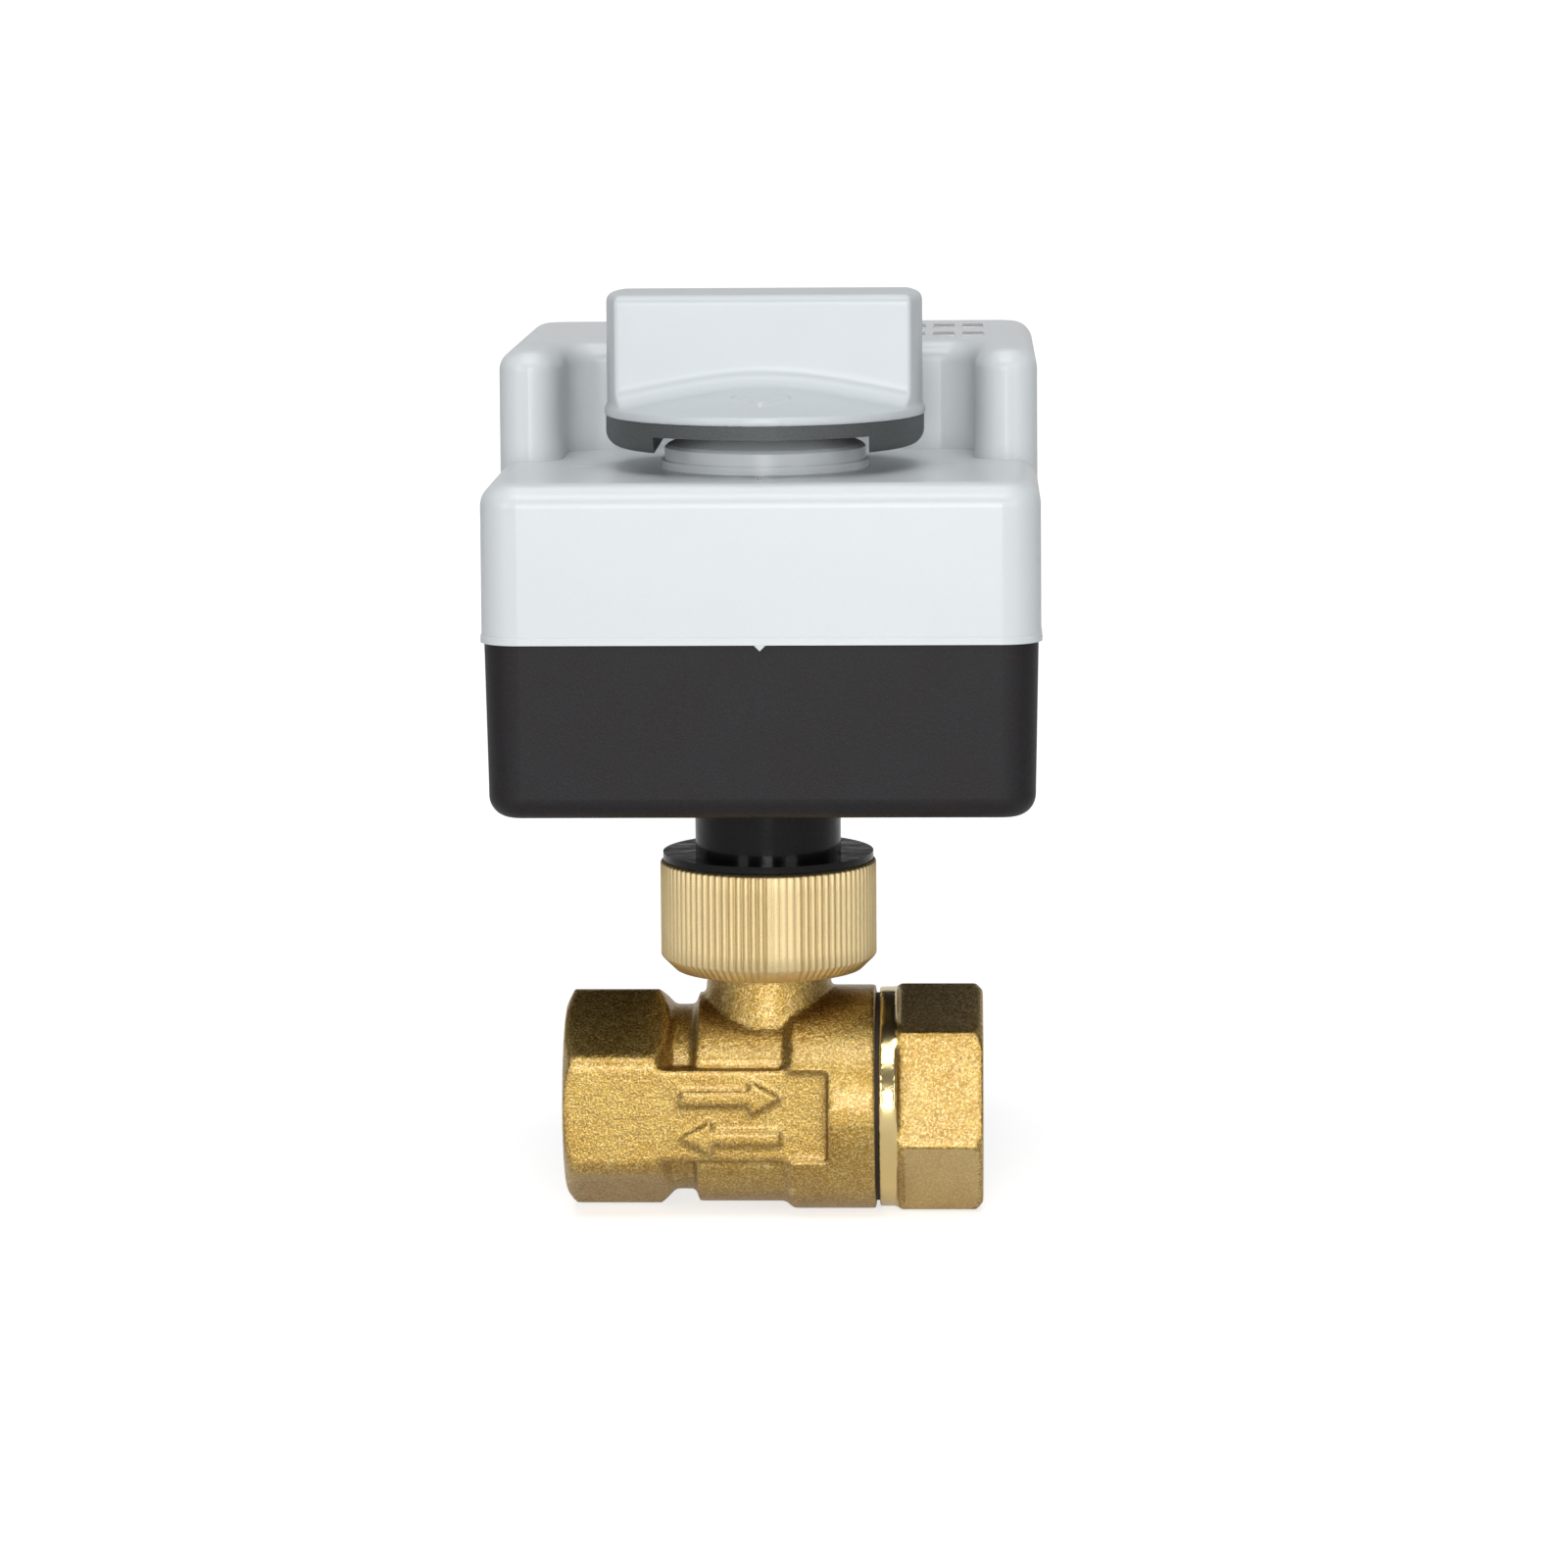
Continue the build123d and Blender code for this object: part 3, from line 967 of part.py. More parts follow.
def plunger_tip(number):
    """Stem axis to the tip of a switch plunger with the valve open."""
    return CAM_RADIUS + CAM_GAP + (0.0 if number == 0 else CAM_RISE)


def limit_switch(number):
    length, width, height = SWITCH_SIZE
    bottom = SWITCH_BOTTOM + number * SWITCH_PITCH
    body = block((SWITCH_FACE, SWITCH_FACE + length), (SWITCH_Y - width / 2, SWITCH_Y + width / 2),
                 (bottom, bottom + height))
    for y in SWITCH_SCREW_PLACES:
        body -= cylinder(SWITCH_SCREW_RADIUS + 0.05, bottom - 1, bottom + height + 1, x=SWITCH_SCREW_X, y=y)
    depth = PLUNGER_REACH + CAM_RISE + 0.6
    half_width = PLUNGER_WIDTH / 2 + PLUNGER_CLEARANCE
    half_height = PLUNGER_HEIGHT / 2 + PLUNGER_CLEARANCE
    body -= block((SWITCH_FACE - 1, SWITCH_FACE + depth), (-half_width, half_width),
                  (cam_middle(number) - half_height, cam_middle(number) + half_height))
    tab_length, tab_width, tab_thickness = SWITCH_TERMINAL
    for y in (-8.0, 0.0, 8.0):
        body += block((SWITCH_FACE + length, SWITCH_FACE + length + tab_length),
                      (SWITCH_Y + y - tab_width / 2, SWITCH_Y + y + tab_width / 2),
                      (cam_middle(number) - tab_thickness / 2, cam_middle(number) + tab_thickness / 2))
    return body


def switch_plunger(number):
    tip = plunger_tip(number)
    return block((tip, SWITCH_FACE + PLUNGER_REACH), (-PLUNGER_WIDTH / 2, PLUNGER_WIDTH / 2),
                 (cam_middle(number) - PLUNGER_HEIGHT / 2, cam_middle(number) + PLUNGER_HEIGHT / 2))


def switch_screws():
    seat_height = SWITCH_BOTTOM + SWITCH_PITCH + SWITCH_SIZE[2]
    return group([screw(SWITCH_SCREW_X, y, seat_height, PLATE_BOTTOM - 0.5, SWITCH_SCREW_RADIUS, 2.0, 1.3)
                  for y in SWITCH_SCREW_PLACES])


def switch_spacers():
    """Washers that lift the switches off the plate and apart."""
    heights = ((PLATE_BOTTOM + PLATE_THICKNESS, SWITCH_BOTTOM),
               (SWITCH_BOTTOM + SWITCH_SIZE[2], SWITCH_BOTTOM + SWITCH_PITCH))
    return group([cylinder(2.2, low, high, x=SWITCH_SCREW_X, y=y, inner=SWITCH_SCREW_RADIUS + 0.05)
                  for low, high in heights for y in SWITCH_SCREW_PLACES])


# ---------------------------------------------------------------- electrics
def circuit_board():
    middle = (BOARD_FRONT + BOARD_BACK) / 2
    outline = Pos(0, middle) * RectangleRounded(2 * BOARD_HALF_WIDTH, BOARD_BACK - BOARD_FRONT, BOARD_CORNER)
    for x, y in BOARD_POSTS:
        outline -= Pos(x, y) * Circle(PLATE_SCREW_RADIUS + SCREW_HOLE_CLEARANCE)
    for x in (-CASE_SCREW_X, CASE_SCREW_X):
        outline -= Pos(x, CASE_SCREW_Y[1]) * Circle(BOSS_RADIUS + 0.8)
    return Pos(0, 0, BOARD_BOTTOM) * extrude(outline, BOARD_THICKNESS)


def board_posts():
    """Threaded pillars that stand on the gear plate and carry the board."""
    plate_top = PLATE_BOTTOM + PLATE_THICKNESS
    posts = []
    for x, y in BOARD_POSTS:
        post = cylinder(BOARD_POST_RADIUS, plate_top, BOARD_BOTTOM, x=x, y=y)
        post += cylinder(PLATE_SCREW_RADIUS, PLATE_BOTTOM, plate_top, x=x, y=y)
        posts.append(post - cylinder(PLATE_SCREW_RADIUS, BOARD_BOTTOM - 6, BOARD_BOTTOM, x=x, y=y))
    return group(posts)


def board_screws():
    seat_height = BOARD_BOTTOM + BOARD_THICKNESS
    return group([screw(x, y, seat_height, BOARD_BOTTOM - 5, PLATE_SCREW_RADIUS, PLATE_SCREW_HEAD, 1.5)
                  for x, y in BOARD_POSTS])


def terminal_x(way):
    return TERMINAL_CENTRE[0] + (way - (TERMINAL_WAYS - 1) / 2) * TERMINAL_PITCH


def terminal_block():
    board_top = BOARD_BOTTOM + BOARD_THICKNESS
    half = TERMINAL_WAYS * TERMINAL_PITCH / 2
    y = TERMINAL_CENTRE[1]
    body = block((TERMINAL_CENTRE[0] - half, TERMINAL_CENTRE[0] + half),
                 (y - TERMINAL_DEPTH / 2, y + TERMINAL_DEPTH / 2), (board_top, board_top + TERMINAL_HEIGHT))
    for way in range(TERMINAL_WAYS):
        body -= cylinder(1.9, board_top + 4.5, board_top + TERMINAL_HEIGHT, x=terminal_x(way), y=y)
        body -= block((terminal_x(way) - 1.7, terminal_x(way) + 1.7), (y, y + TERMINAL_DEPTH),
                      (board_top + 0.8, board_top + 4.2))
    return body


def terminal_screws():
    seat_height = BOARD_BOTTOM + BOARD_THICKNESS + 4.5
    screws = []
    for way in range(TERMINAL_WAYS):
        body = cylinder(1.85, seat_height, seat_height + 3.0)
        body -= Pos(0, 0, seat_height + 3.0) * Box(4.0, 0.6, 1.6)
        screws.append(Pos(terminal_x(way), TERMINAL_CENTRE[1], 0) * body)
    return group(screws)


def relay():
    x, y = RELAY_CENTRE
    length, width, height = RELAY_SIZE
    board_top = BOARD_BOTTOM + BOARD_THICKNESS
    return block((x - length / 2, x + length / 2), (y - width / 2, y + width / 2),
                 (board_top, board_top + height))


def capacitor():
    x, y = CAPACITOR_CENTRE
    board_top = BOARD_BOTTOM + BOARD_THICKNESS
    return cylinder(CAPACITOR_RADIUS, board_top, board_top + CAPACITOR_HEIGHT, x=x, y=y)


# ---------------------------------------------------------------- cable gland
def gland_hexagon(flats, start, end):
    plane = Plane(origin=(GLAND_X, start, GLAND_Z), x_dir=(1, 0, 0), z_dir=(0, 1, 0))
    return extrude(plane * RegularPolygon(flats / 2, 6, major_radius=False), end - start)


def gland_face():
    """Where the gland's hexagon seats on the housing's drafted back wall."""
    return CASE_BACK - GLAND_SPOT_DEPTH


def gland_body():
    face = gland_face()
    hex_end = face + GLAND_FLANGE_THICKNESS
    body = gland_hexagon(GLAND_FLATS, face, hex_end)
    body += cylinder_y(GLAND_THREAD_RADIUS, face - GLAND_INNER_LENGTH, hex_end + GLAND_THREAD_LENGTH,
                       GLAND_X, GLAND_Z)
    seal_start = hex_end + GLAND_THREAD_LENGTH - GLAND_SEAL_LENGTH + 1.5
    body -= cylinder_y(GLAND_BORE, face - GLAND_INNER_LENGTH - 1, seal_start, GLAND_X, GLAND_Z)
    return body - cylinder_y(GLAND_BORE + 0.6, seal_start, hex_end + GLAND_THREAD_LENGTH + 1, GLAND_X, GLAND_Z)


def gland_seal():
    start = gland_face() + GLAND_FLANGE_THICKNESS + GLAND_THREAD_LENGTH - GLAND_SEAL_LENGTH + 1.5
    end = start + GLAND_SEAL_LENGTH - 1.0
    return cylinder_y(GLAND_BORE + 0.55, start, end, GLAND_X, GLAND_Z, inner=GLAND_SEAL_BORE)


def gland_nut():
    start = gland_face() + GLAND_FLANGE_THICKNESS + 0.3
    end = start + GLAND_NUT_LENGTH
    nut = cylinder_y(GLAND_NUT_RADIUS - 0.4, start, end, GLAND_X, GLAND_Z)
    for rib in range(GLAND_NUT_RIBS):
        x, z = polar(GLAND_NUT_RADIUS - 0.5, 2 * pi * rib / GLAND_NUT_RIBS)
        nut += cylinder_y(0.5, start, end - 1.0, GLAND_X + x, GLAND_Z + z)
    nut -= cylinder_y(GLAND_THREAD_RADIUS + 0.15, start - 1, end - 1.6, GLAND_X, GLAND_Z)
    return nut - cylinder_y(GLAND_NUT_MOUTH, start, end + 1, GLAND_X, GLAND_Z)


def gland_locknut():
    end = CASE_BACK - CASE_WALL - 0.45
    nut = gland_hexagon(GLAND_FLATS, end - GLAND_LOCKNUT_THICKNESS, end)
    return nut - cylinder_y(GLAND_THREAD_RADIUS, end - 10, end + 1, GLAND_X, GLAND_Z)


def pieces():
    """Every node of the part by name, with the stem on the Z axis."""
    return {
        "valve_body": valve_body(), "end_cap": end_cap(), "cap_seal": cap_seal(), "ball": ball(),
        "inlet_seat": seat(-1), "outlet_seat": seat(1), "valve_stem": valve_stem(),
        "stem_washer": stem_washer(), "stem_seals": stem_seals(), "coupling_nut": coupling_nut(),
        "mounting_neck": mounting_neck(), "neck_screws": neck_screws(), "nut_cover_ring": nut_cover_ring(),
        "snap_ring": snap_ring(), "locating_pins": locating_pins(), "drive_coupler": drive_coupler(),
        "output_shaft": output_shaft(), "lower_bush": lower_bush(), "base_housing": base_housing(),
        "cover": cover(), "housing_seal": housing_seal(), "case_screws": case_screws(),
        "upper_bush": upper_bush(), "shaft_clip": shaft_clip(), "knob_cap": knob_cap(),
        "knob_base": knob_base(), "output_gear": output_gear(), "idler_gear": idler_gear(),
        "motor_pinion": motor_pinion(), "idler_pin": idler_pin(), "gear_plate": gear_plate(),
        "plate_screws": plate_screws(), "motor": motor(), "motor_screws": motor_screws(),
        "closing_cam": limit_cam(0, rising=True), "opening_cam": limit_cam(1, rising=False),
        "closing_switch": limit_switch(0), "opening_switch": limit_switch(1),
        "closing_plunger": switch_plunger(0), "opening_plunger": switch_plunger(1),
        "switch_screws": switch_screws(), "switch_spacers": switch_spacers(),
        "circuit_board": circuit_board(), "board_posts": board_posts(), "board_screws": board_screws(),
        "terminal_block": terminal_block(), "terminal_screws": terminal_screws(), "relay": relay(),
        "capacitor": capacitor(), "gland_body": gland_body(), "gland_seal": gland_seal(),
        "gland_nut": gland_nut(), "gland_locknut": gland_locknut(),
    }


os.makedirs("parts", exist_ok=True)
for name, shape in pieces().items():
    export_step(Pos(INLET_LENGTH, 0, 0) * shape, f"parts/{name}.step")
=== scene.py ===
"""Looks of a motorised zone valve: a cast brass ball valve, a knurled coupling nut, a two-part plastic
actuator box and a manual knob. Metres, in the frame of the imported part; sizes given in millimetres are
multiplied by MM. The stem stands on Z, the pipe lies on X, and the front faces -Y."""
import json
import math

import bmesh
import bpy
from mathutils import Matrix, Quaternion, Vector


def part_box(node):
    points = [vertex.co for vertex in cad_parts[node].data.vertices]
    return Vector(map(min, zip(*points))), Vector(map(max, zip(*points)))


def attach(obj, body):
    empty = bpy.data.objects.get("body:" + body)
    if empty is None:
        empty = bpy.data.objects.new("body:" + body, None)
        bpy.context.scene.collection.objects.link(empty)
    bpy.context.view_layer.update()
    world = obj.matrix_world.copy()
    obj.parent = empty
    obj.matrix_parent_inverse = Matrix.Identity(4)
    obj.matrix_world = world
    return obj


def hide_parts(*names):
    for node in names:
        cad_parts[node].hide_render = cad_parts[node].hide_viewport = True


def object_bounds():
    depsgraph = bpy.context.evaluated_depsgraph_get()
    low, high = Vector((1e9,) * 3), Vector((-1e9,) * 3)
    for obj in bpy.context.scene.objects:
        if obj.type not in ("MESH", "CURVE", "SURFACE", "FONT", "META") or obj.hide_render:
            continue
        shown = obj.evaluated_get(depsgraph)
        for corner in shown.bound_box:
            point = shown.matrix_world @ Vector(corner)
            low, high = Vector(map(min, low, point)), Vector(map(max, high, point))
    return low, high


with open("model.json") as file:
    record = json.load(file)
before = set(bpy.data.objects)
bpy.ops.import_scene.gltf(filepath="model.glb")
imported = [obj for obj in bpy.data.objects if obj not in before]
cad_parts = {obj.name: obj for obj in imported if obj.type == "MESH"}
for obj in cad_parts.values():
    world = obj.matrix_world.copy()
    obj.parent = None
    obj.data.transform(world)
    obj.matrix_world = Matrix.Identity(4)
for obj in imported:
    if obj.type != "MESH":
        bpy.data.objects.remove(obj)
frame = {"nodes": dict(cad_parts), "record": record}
cad_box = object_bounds()

MM = 0.001
NODES = frame["nodes"]
BODY_OF = {node: body for body, nodes in frame["record"]["behaviour"]["bodies"].items() for node in nodes}
SLOT_OF = {part["node"]: part["material_slot"] for part in frame["record"]["subparts"]}


# ------------------------------------------------------------------ node trees
class Wire:
    """A node's output that takes part in arithmetic; each operation adds a Math node."""

    def __init__(self, sheet, socket):
        self.sheet = sheet
        self.socket = socket

    def __add__(self, other):
        return self.sheet.math("ADD", self, other)

    __radd__ = __add__

    def __sub__(self, other):
        return self.sheet.math("SUBTRACT", self, other)

    def __rsub__(self, other):
        return self.sheet.math("SUBTRACT", other, self)

    def __mul__(self, other):
        return self.sheet.math("MULTIPLY", self, other)

    __rmul__ = __mul__

    def __truediv__(self, other):
        return self.sheet.math("DIVIDE", self, other)

    def __rtruediv__(self, other):
        return self.sheet.math("DIVIDE", other, self)

    def __pow__(self, other):
        return self.sheet.math("POWER", self, other)

    def __abs__(self):
        return self.sheet.math("ABSOLUTE", self)

    def sin(self):
        return self.sheet.math("SINE", self)

    def above(self, edge, width):
        """0 below edge and 1 above it, smoothly over width."""
        return self.sheet.node("ShaderNodeMapRange", {"interpolation_type": "SMOOTHSTEP"}, {
            "Value": self, "From Min": edge - width / 2, "From Max": edge + width / 2})

    def below(self, edge, width):
        return 1 - self.above(edge, width)


class Sheet:
    """A node tree being drawn, for a finish or for geometry."""

    def __init__(self, tree):
        self.tree = tree

    def node(self, kind, settings=None, inputs=None, out=0):
        """Adds a node: its settings first, then the values or links of its sockets."""
        made = self.tree.nodes.new(kind)
        for key, value in (settings or {}).items():
            setattr(made, key, value)
        for key, value in (inputs or {}).items():
            self.feed(made.inputs[key], value)
        return Wire(self, made.outputs[out]) if len(made.outputs) else None

    def feed(self, socket, value):
        if isinstance(value, Wire):
            self.tree.links.new(value.socket, socket)
        else:
            socket.default_value = value

    def math(self, operation, *values):
        return self.node("ShaderNodeMath", {"operation": operation}, dict(enumerate(values)))

    def vector_math(self, operation, *values, out=0):
        return self.node("ShaderNodeVectorMath", {"operation": operation}, dict(enumerate(values)), out=out)

    def combine(self, x, y, z):
        return self.node("ShaderNodeCombineXYZ", inputs={"X": x, "Y": y, "Z": z})

    def split(self, vector):
        """The three components of a vector."""
        first = self.node("ShaderNodeSeparateXYZ", inputs={"Vector": vector})
        return [Wire(self, output) for output in first.socket.node.outputs]

    def mix(self, factor, first, second):
        """Blends two colours."""
        colours = [(*c, 1) if isinstance(c, tuple) and len(c) == 3 else c for c in (first, second)]
        return self.node("ShaderNodeMix", {"data_type": "RGBA"},
                         {0: factor, 6: colours[0], 7: colours[1]}, out=2)

    def noise(self, place, size, detail=2.0, roughness=0.5):
        """Noise whose features are about as large as size."""
        return self.node("ShaderNodeTexNoise", inputs={
            "Vector": place, "Scale": 1 / size, "Detail": detail, "Roughness": roughness})

    def cell_edges(self, place, size):
        """The distance to the nearest edge between cells about as large as size."""
        return self.node("ShaderNodeTexVoronoi", {"feature": "DISTANCE_TO_EDGE"},
                         {"Vector": place, "Scale": 1 / size})


class Finish(Sheet):
    """A material being made, around one Principled shader."""

    def __init__(self, name, **constants):
        self.material = bpy.data.materials.new(name)
        self.material.use_nodes = True
        super().__init__(self.material.node_tree)
        self.tree.nodes.clear()
        shader = self.node("ShaderNodeBsdfPrincipled")
        self.shader = shader.socket.node
        self.node("ShaderNodeOutputMaterial", inputs={"Surface": shader})
        for key, value in constants.items():
            self.shader.inputs[key.replace("_", " ")].default_value = value

    def place(self):
        """Object coordinates, in metres."""
        return self.node("ShaderNodeTexCoord", out=3)

    def set(self, **links):
        for key, value in links.items():
            self.feed(self.shader.inputs[key.replace("_", " ")], value)

    def bump(self, height, depth, under=None):
        """Relief whose height runs from 0 to 1 over depth metres."""
        inputs = {"Height": height, "Distance": depth, "Strength": 1.0}
        if under:
            inputs["Normal"] = under
        return self.node("ShaderNodeBump", inputs=inputs)

    def crevice(self, reach):
        """1 in the open and falling towards 0 in corners narrower than reach."""
        return self.node("ShaderNodeAmbientOcclusion", {"samples": 8, "only_local": True},
                         {"Distance": reach}, out=1)

    def edge_wear(self, radius):
        """Rises from 0 on flat ground to about 1 on corners sharper than radius."""
        soft = self.node("ShaderNodeBevel", {"samples": 6}, {"Radius": radius})
        true = self.node("ShaderNodeNewGeometry", out=1)
        turn = self.vector_math("DOT_PRODUCT", soft, true, out=1)
        return (1 - turn).above(0.06, 0.10)


def shade(colour, factor):
    """A colour made darker or lighter."""
    return tuple(min(1.0, channel * factor) for channel in colour)


# ------------------------------------------------------------------ finishes
def moulded(name, colour, roughness=0.45, grain=0.15, depth=0.012, fleck=0.06, corner_shade_keep=0.85, specks=0.0,
            inked_above=None, **constants):
    """Moulded plastic or rubber. grain is the size of the mould's spark texture in millimetres and depth its
    relief; fleck is how far the colour wanders, corner_shade_keep how much of the colour is left where shade
    is painted into corners, and specks the strength of scattered reddish and bluish dots. What stands above
    the height inked_above is inked grey."""
    f = Finish(name, Metallic=0.0, **constants)
    place = f.place()
    fine = f.noise(place, grain * MM, detail=3, roughness=0.6)
    broad = f.noise(place, 9 * MM, detail=2)
    body = f.mix(fine.above(0.5, 0.5), shade(colour, 1 - fleck), shade(colour, 1 + fleck))
    body = f.mix(broad.above(0.5, 0.6) * 0.25, body, shade(colour, 1 - fleck / 2))
    worn = f.edge_wear(0.35 * MM)
    body = f.mix(worn * 0.2, body, shade(colour, 1.12))
    if specks:
        scatter = f.noise(place, 0.5 * MM, detail=4, roughness=0.8)
        red, blue = (colour[0] * 2.6, colour[1], colour[2]), (colour[0], colour[1] * 1.3, colour[2] * 2.8)
        body = f.mix(scatter.above(0.60, 0.08) * broad.above(0.5, 0.2) * specks, body, red)
        body = f.mix(scatter.below(0.40, 0.08) * broad.below(0.5, 0.2) * specks, body, blue)
    # Painted shade: an occlusion mask darkens corners and creases.
    body = f.mix((1 - f.crevice(2.5 * MM)) * (1 - corner_shade_keep) * 2, body, shade(colour, 0.55))
    if inked_above is not None:
        body = f.mix(f.split(place)[2].above(inked_above, 0.05 * MM), body, INK)
    f.set(Base_Color=body, Roughness=broad * 0.06 + fine * 0.08 + (roughness - 0.07) - worn * 0.06)
    waviness = f.bump(f.noise(place, 22 * MM, detail=1), 0.05 * MM)
    f.set(Normal=f.bump(fine, depth * MM, under=waviness))
    return f.material


def cast_brass():
    """Sand-cast brass: fine sparkling grain, painted shade in the hollows, machined ports, collar and end
    faces.
    """
    f = Finish("cast_brass", Metallic=1.0, Coat_Weight=0.5, Coat_Roughness=0.25)
    place = f.place()
    x, y, z = f.split(place)
    radius = f.vector_math("LENGTH", f.combine(0, y, z), out=1)
    port_wall = 10.75 * MM
    collar_from, collar_to = COLLAR
    in_port = radius.below(port_wall, 0.2 * MM)
    on_collar = x.above(collar_from, 0.1 * MM) * x.below(collar_to, 0.2 * MM)
    end_face = x.below(0.12 * MM, 0.1 * MM) + x.above(PIPE_LENGTH - 0.12 * MM, 0.1 * MM)
    machined = f.math("MINIMUM", in_port + on_collar + end_face, 1.0)
    cast = 1 - machined
    grain = f.noise(place, 0.30 * MM, detail=2, roughness=0.7)
    lumps = f.noise(place, 1.1 * MM, detail=3, roughness=0.6)
    broad = f.noise(place, 6 * MM, detail=3)
    gold = f.mix(broad.above(0.5, 0.4), BRASS_DEEP, BRASS)
    gold = f.mix(lumps.below(0.46, 0.25) * 0.35, gold, BRASS_SHADE)
    gold = f.mix(grain.above(0.56, 0.14) * cast * 0.6, gold, BRASS_PALE)
    gold = f.mix(grain.below(0.44, 0.12) * cast * 0.6, gold, BRASS_SHADE)
    corner = f.node("ShaderNodeNewGeometry", out=7)
    gold = f.mix(corner.above(0.56, 0.08) * 0.45, gold, BRASS_PALE)
    # Painted shade: an occlusion mask darkens the hollows towards a deep brown.
    gold = f.mix((1 - f.crevice(3 * MM)) * 0.9, gold, BRASS_HOLLOW_SHADE)
    lathe = f.noise(f.combine(x * 12 + radius * 12, 0, 0), 0.9 * MM, detail=2)
    f.set(Base_Color=f.mix(machined, gold, BRASS_CUT))
    f.set(Roughness=cast * (grain * 0.16 + 0.30) + machined * 0.17)
    skin = f.bump(grain * 0.45 + lumps * 0.8, 0.16 * MM)
    skin_only = f.node("ShaderNodeMix", {"data_type": "VECTOR"},
                       {0: machined, 4: skin, 5: f.bump(lathe, 0.012 * MM)}, out=1)
    f.set(Normal=skin_only)
    return f.material


def turned_brass():
    """Pale, dull brass of the knurled nut and the stem parts."""
    f = Finish("turned_brass", Metallic=1.0)
    place = f.place()
    z = f.split(place)[2]
    fine = f.noise(place, 0.22 * MM, detail=3, roughness=0.7)
    broad = f.noise(place, 4 * MM, detail=2)
    colour = f.mix(broad.above(0.5, 0.6), NUT_BRASS, shade(NUT_BRASS, 0.93))
    colour = f.mix(fine.above(0.55, 0.3) * 0.4, colour, NUT_BRASS_PALE)
    # Painted shade: an occlusion mask darkens the knurl valleys and other narrow corners.
    colour = f.mix((1 - f.crevice(0.7 * MM)) * 0.9, colour, shade(NUT_BRASS, 0.42))
    lathe = f.noise(f.combine(0, 0, z * 14), 0.9 * MM, detail=2)
    f.set(Base_Color=colour, Roughness=fine * 0.12 + 0.44)
    f.set(Normal=f.bump(fine * 0.7 + lathe * 0.3, 0.02 * MM))
    return f.material


def bright_metal(name, colour, roughness, scratch=0.15):
    """Ground or plated metal with fine drawn scratches and cloudy patches."""
    f = Finish(name, Metallic=1.0)
    place = f.place()
    x, y, z = f.split(place)
    drawn = f.noise(f.combine(x * 6, y * 6, z * 0.4), 0.8 * MM, detail=4, roughness=0.7)
    cloud = f.noise(place, 3 * MM, detail=3)
    worn = f.edge_wear(0.2 * MM)
    body = f.mix(cloud.above(0.5, 0.5), shade(colour, 0.88), colour)
    body = f.mix(worn * 0.5, body, shade(colour, 1.2))
    # Painted shade: an occlusion mask darkens corners.
    f.set(Base_Color=f.mix((1 - f.crevice(1.5 * MM)) * 0.6, body, shade(colour, 0.35)))
    f.set(Roughness=drawn * scratch + cloud * 0.08 + roughness, Normal=f.bump(drawn, 0.006 * MM))
    return f.material


def gloss_black():
    """Polished black moulding: hardly any texture, faint ripples, dust in the corners."""
    f = Finish("gloss_black", Metallic=0.0, Coat_Roughness=0.05, Specular_IOR_Level=0.13)
    place = f.place()
    dust = f.noise(place, 0.35 * MM, detail=4, roughness=0.75)
    ripple = f.noise(place, 4 * MM, detail=2)
    body = f.mix(dust.above(0.66, 0.12) * 0.3, (0.004, 0.004, 0.0038), (0.035, 0.035, 0.032))
    body = f.mix((1 - f.crevice(2 * MM)) * 0.3, body, (0.012, 0.011, 0.010))
    f.set(Base_Color=body, Roughness=dust * 0.10 + 0.14, Coat_Weight=dust.below(0.6, 0.2) * 0.15)
    f.set(Normal=f.bump(ripple, 0.12 * MM))
    return f.material


def board_laminate():
    """Green solder mask over copper tracks."""
    f = Finish("board_laminate", Metallic=0.0)
    place = f.place()
    stretched = f.node("ShaderNodeMapping", inputs={"Vector": place, "Scale": (1, 1.6, 1)})
    track = f.cell_edges(stretched, 3.4 * MM).below(0.09, 0.04)
    weave = f.noise(place, 0.4 * MM, detail=2)
    colour = f.mix(track, (0.006, 0.07, 0.022), (0.02, 0.17, 0.05))
    f.set(Base_Color=f.mix(weave * 0.2, colour, (0.01, 0.05, 0.02)), Roughness=weave * 0.1 + 0.28)
    f.set(Normal=f.bump(track, 0.03 * MM))
    return f.material


BRASS = (0.53, 0.352, 0.080)
BRASS_DEEP = (0.45, 0.262, 0.036)
BRASS_PALE = (0.84, 0.67, 0.34)
BRASS_SHADE = (0.27, 0.145, 0.022)
BRASS_HOLLOW_SHADE = (0.14, 0.06, 0.012)
BRASS_CUT = (0.84, 0.65, 0.29)
NUT_BRASS = (0.78, 0.61, 0.32)
NUT_BRASS_PALE = (0.90, 0.77, 0.50)
INK = (0.24, 0.24, 0.24)
MARK_RELIEF = 0.25 * MM
PIPE_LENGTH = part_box("end_cap")[1].x
COLLAR = (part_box("cap_seal")[1].x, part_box("cap_seal")[1].x + 2.5 * MM)

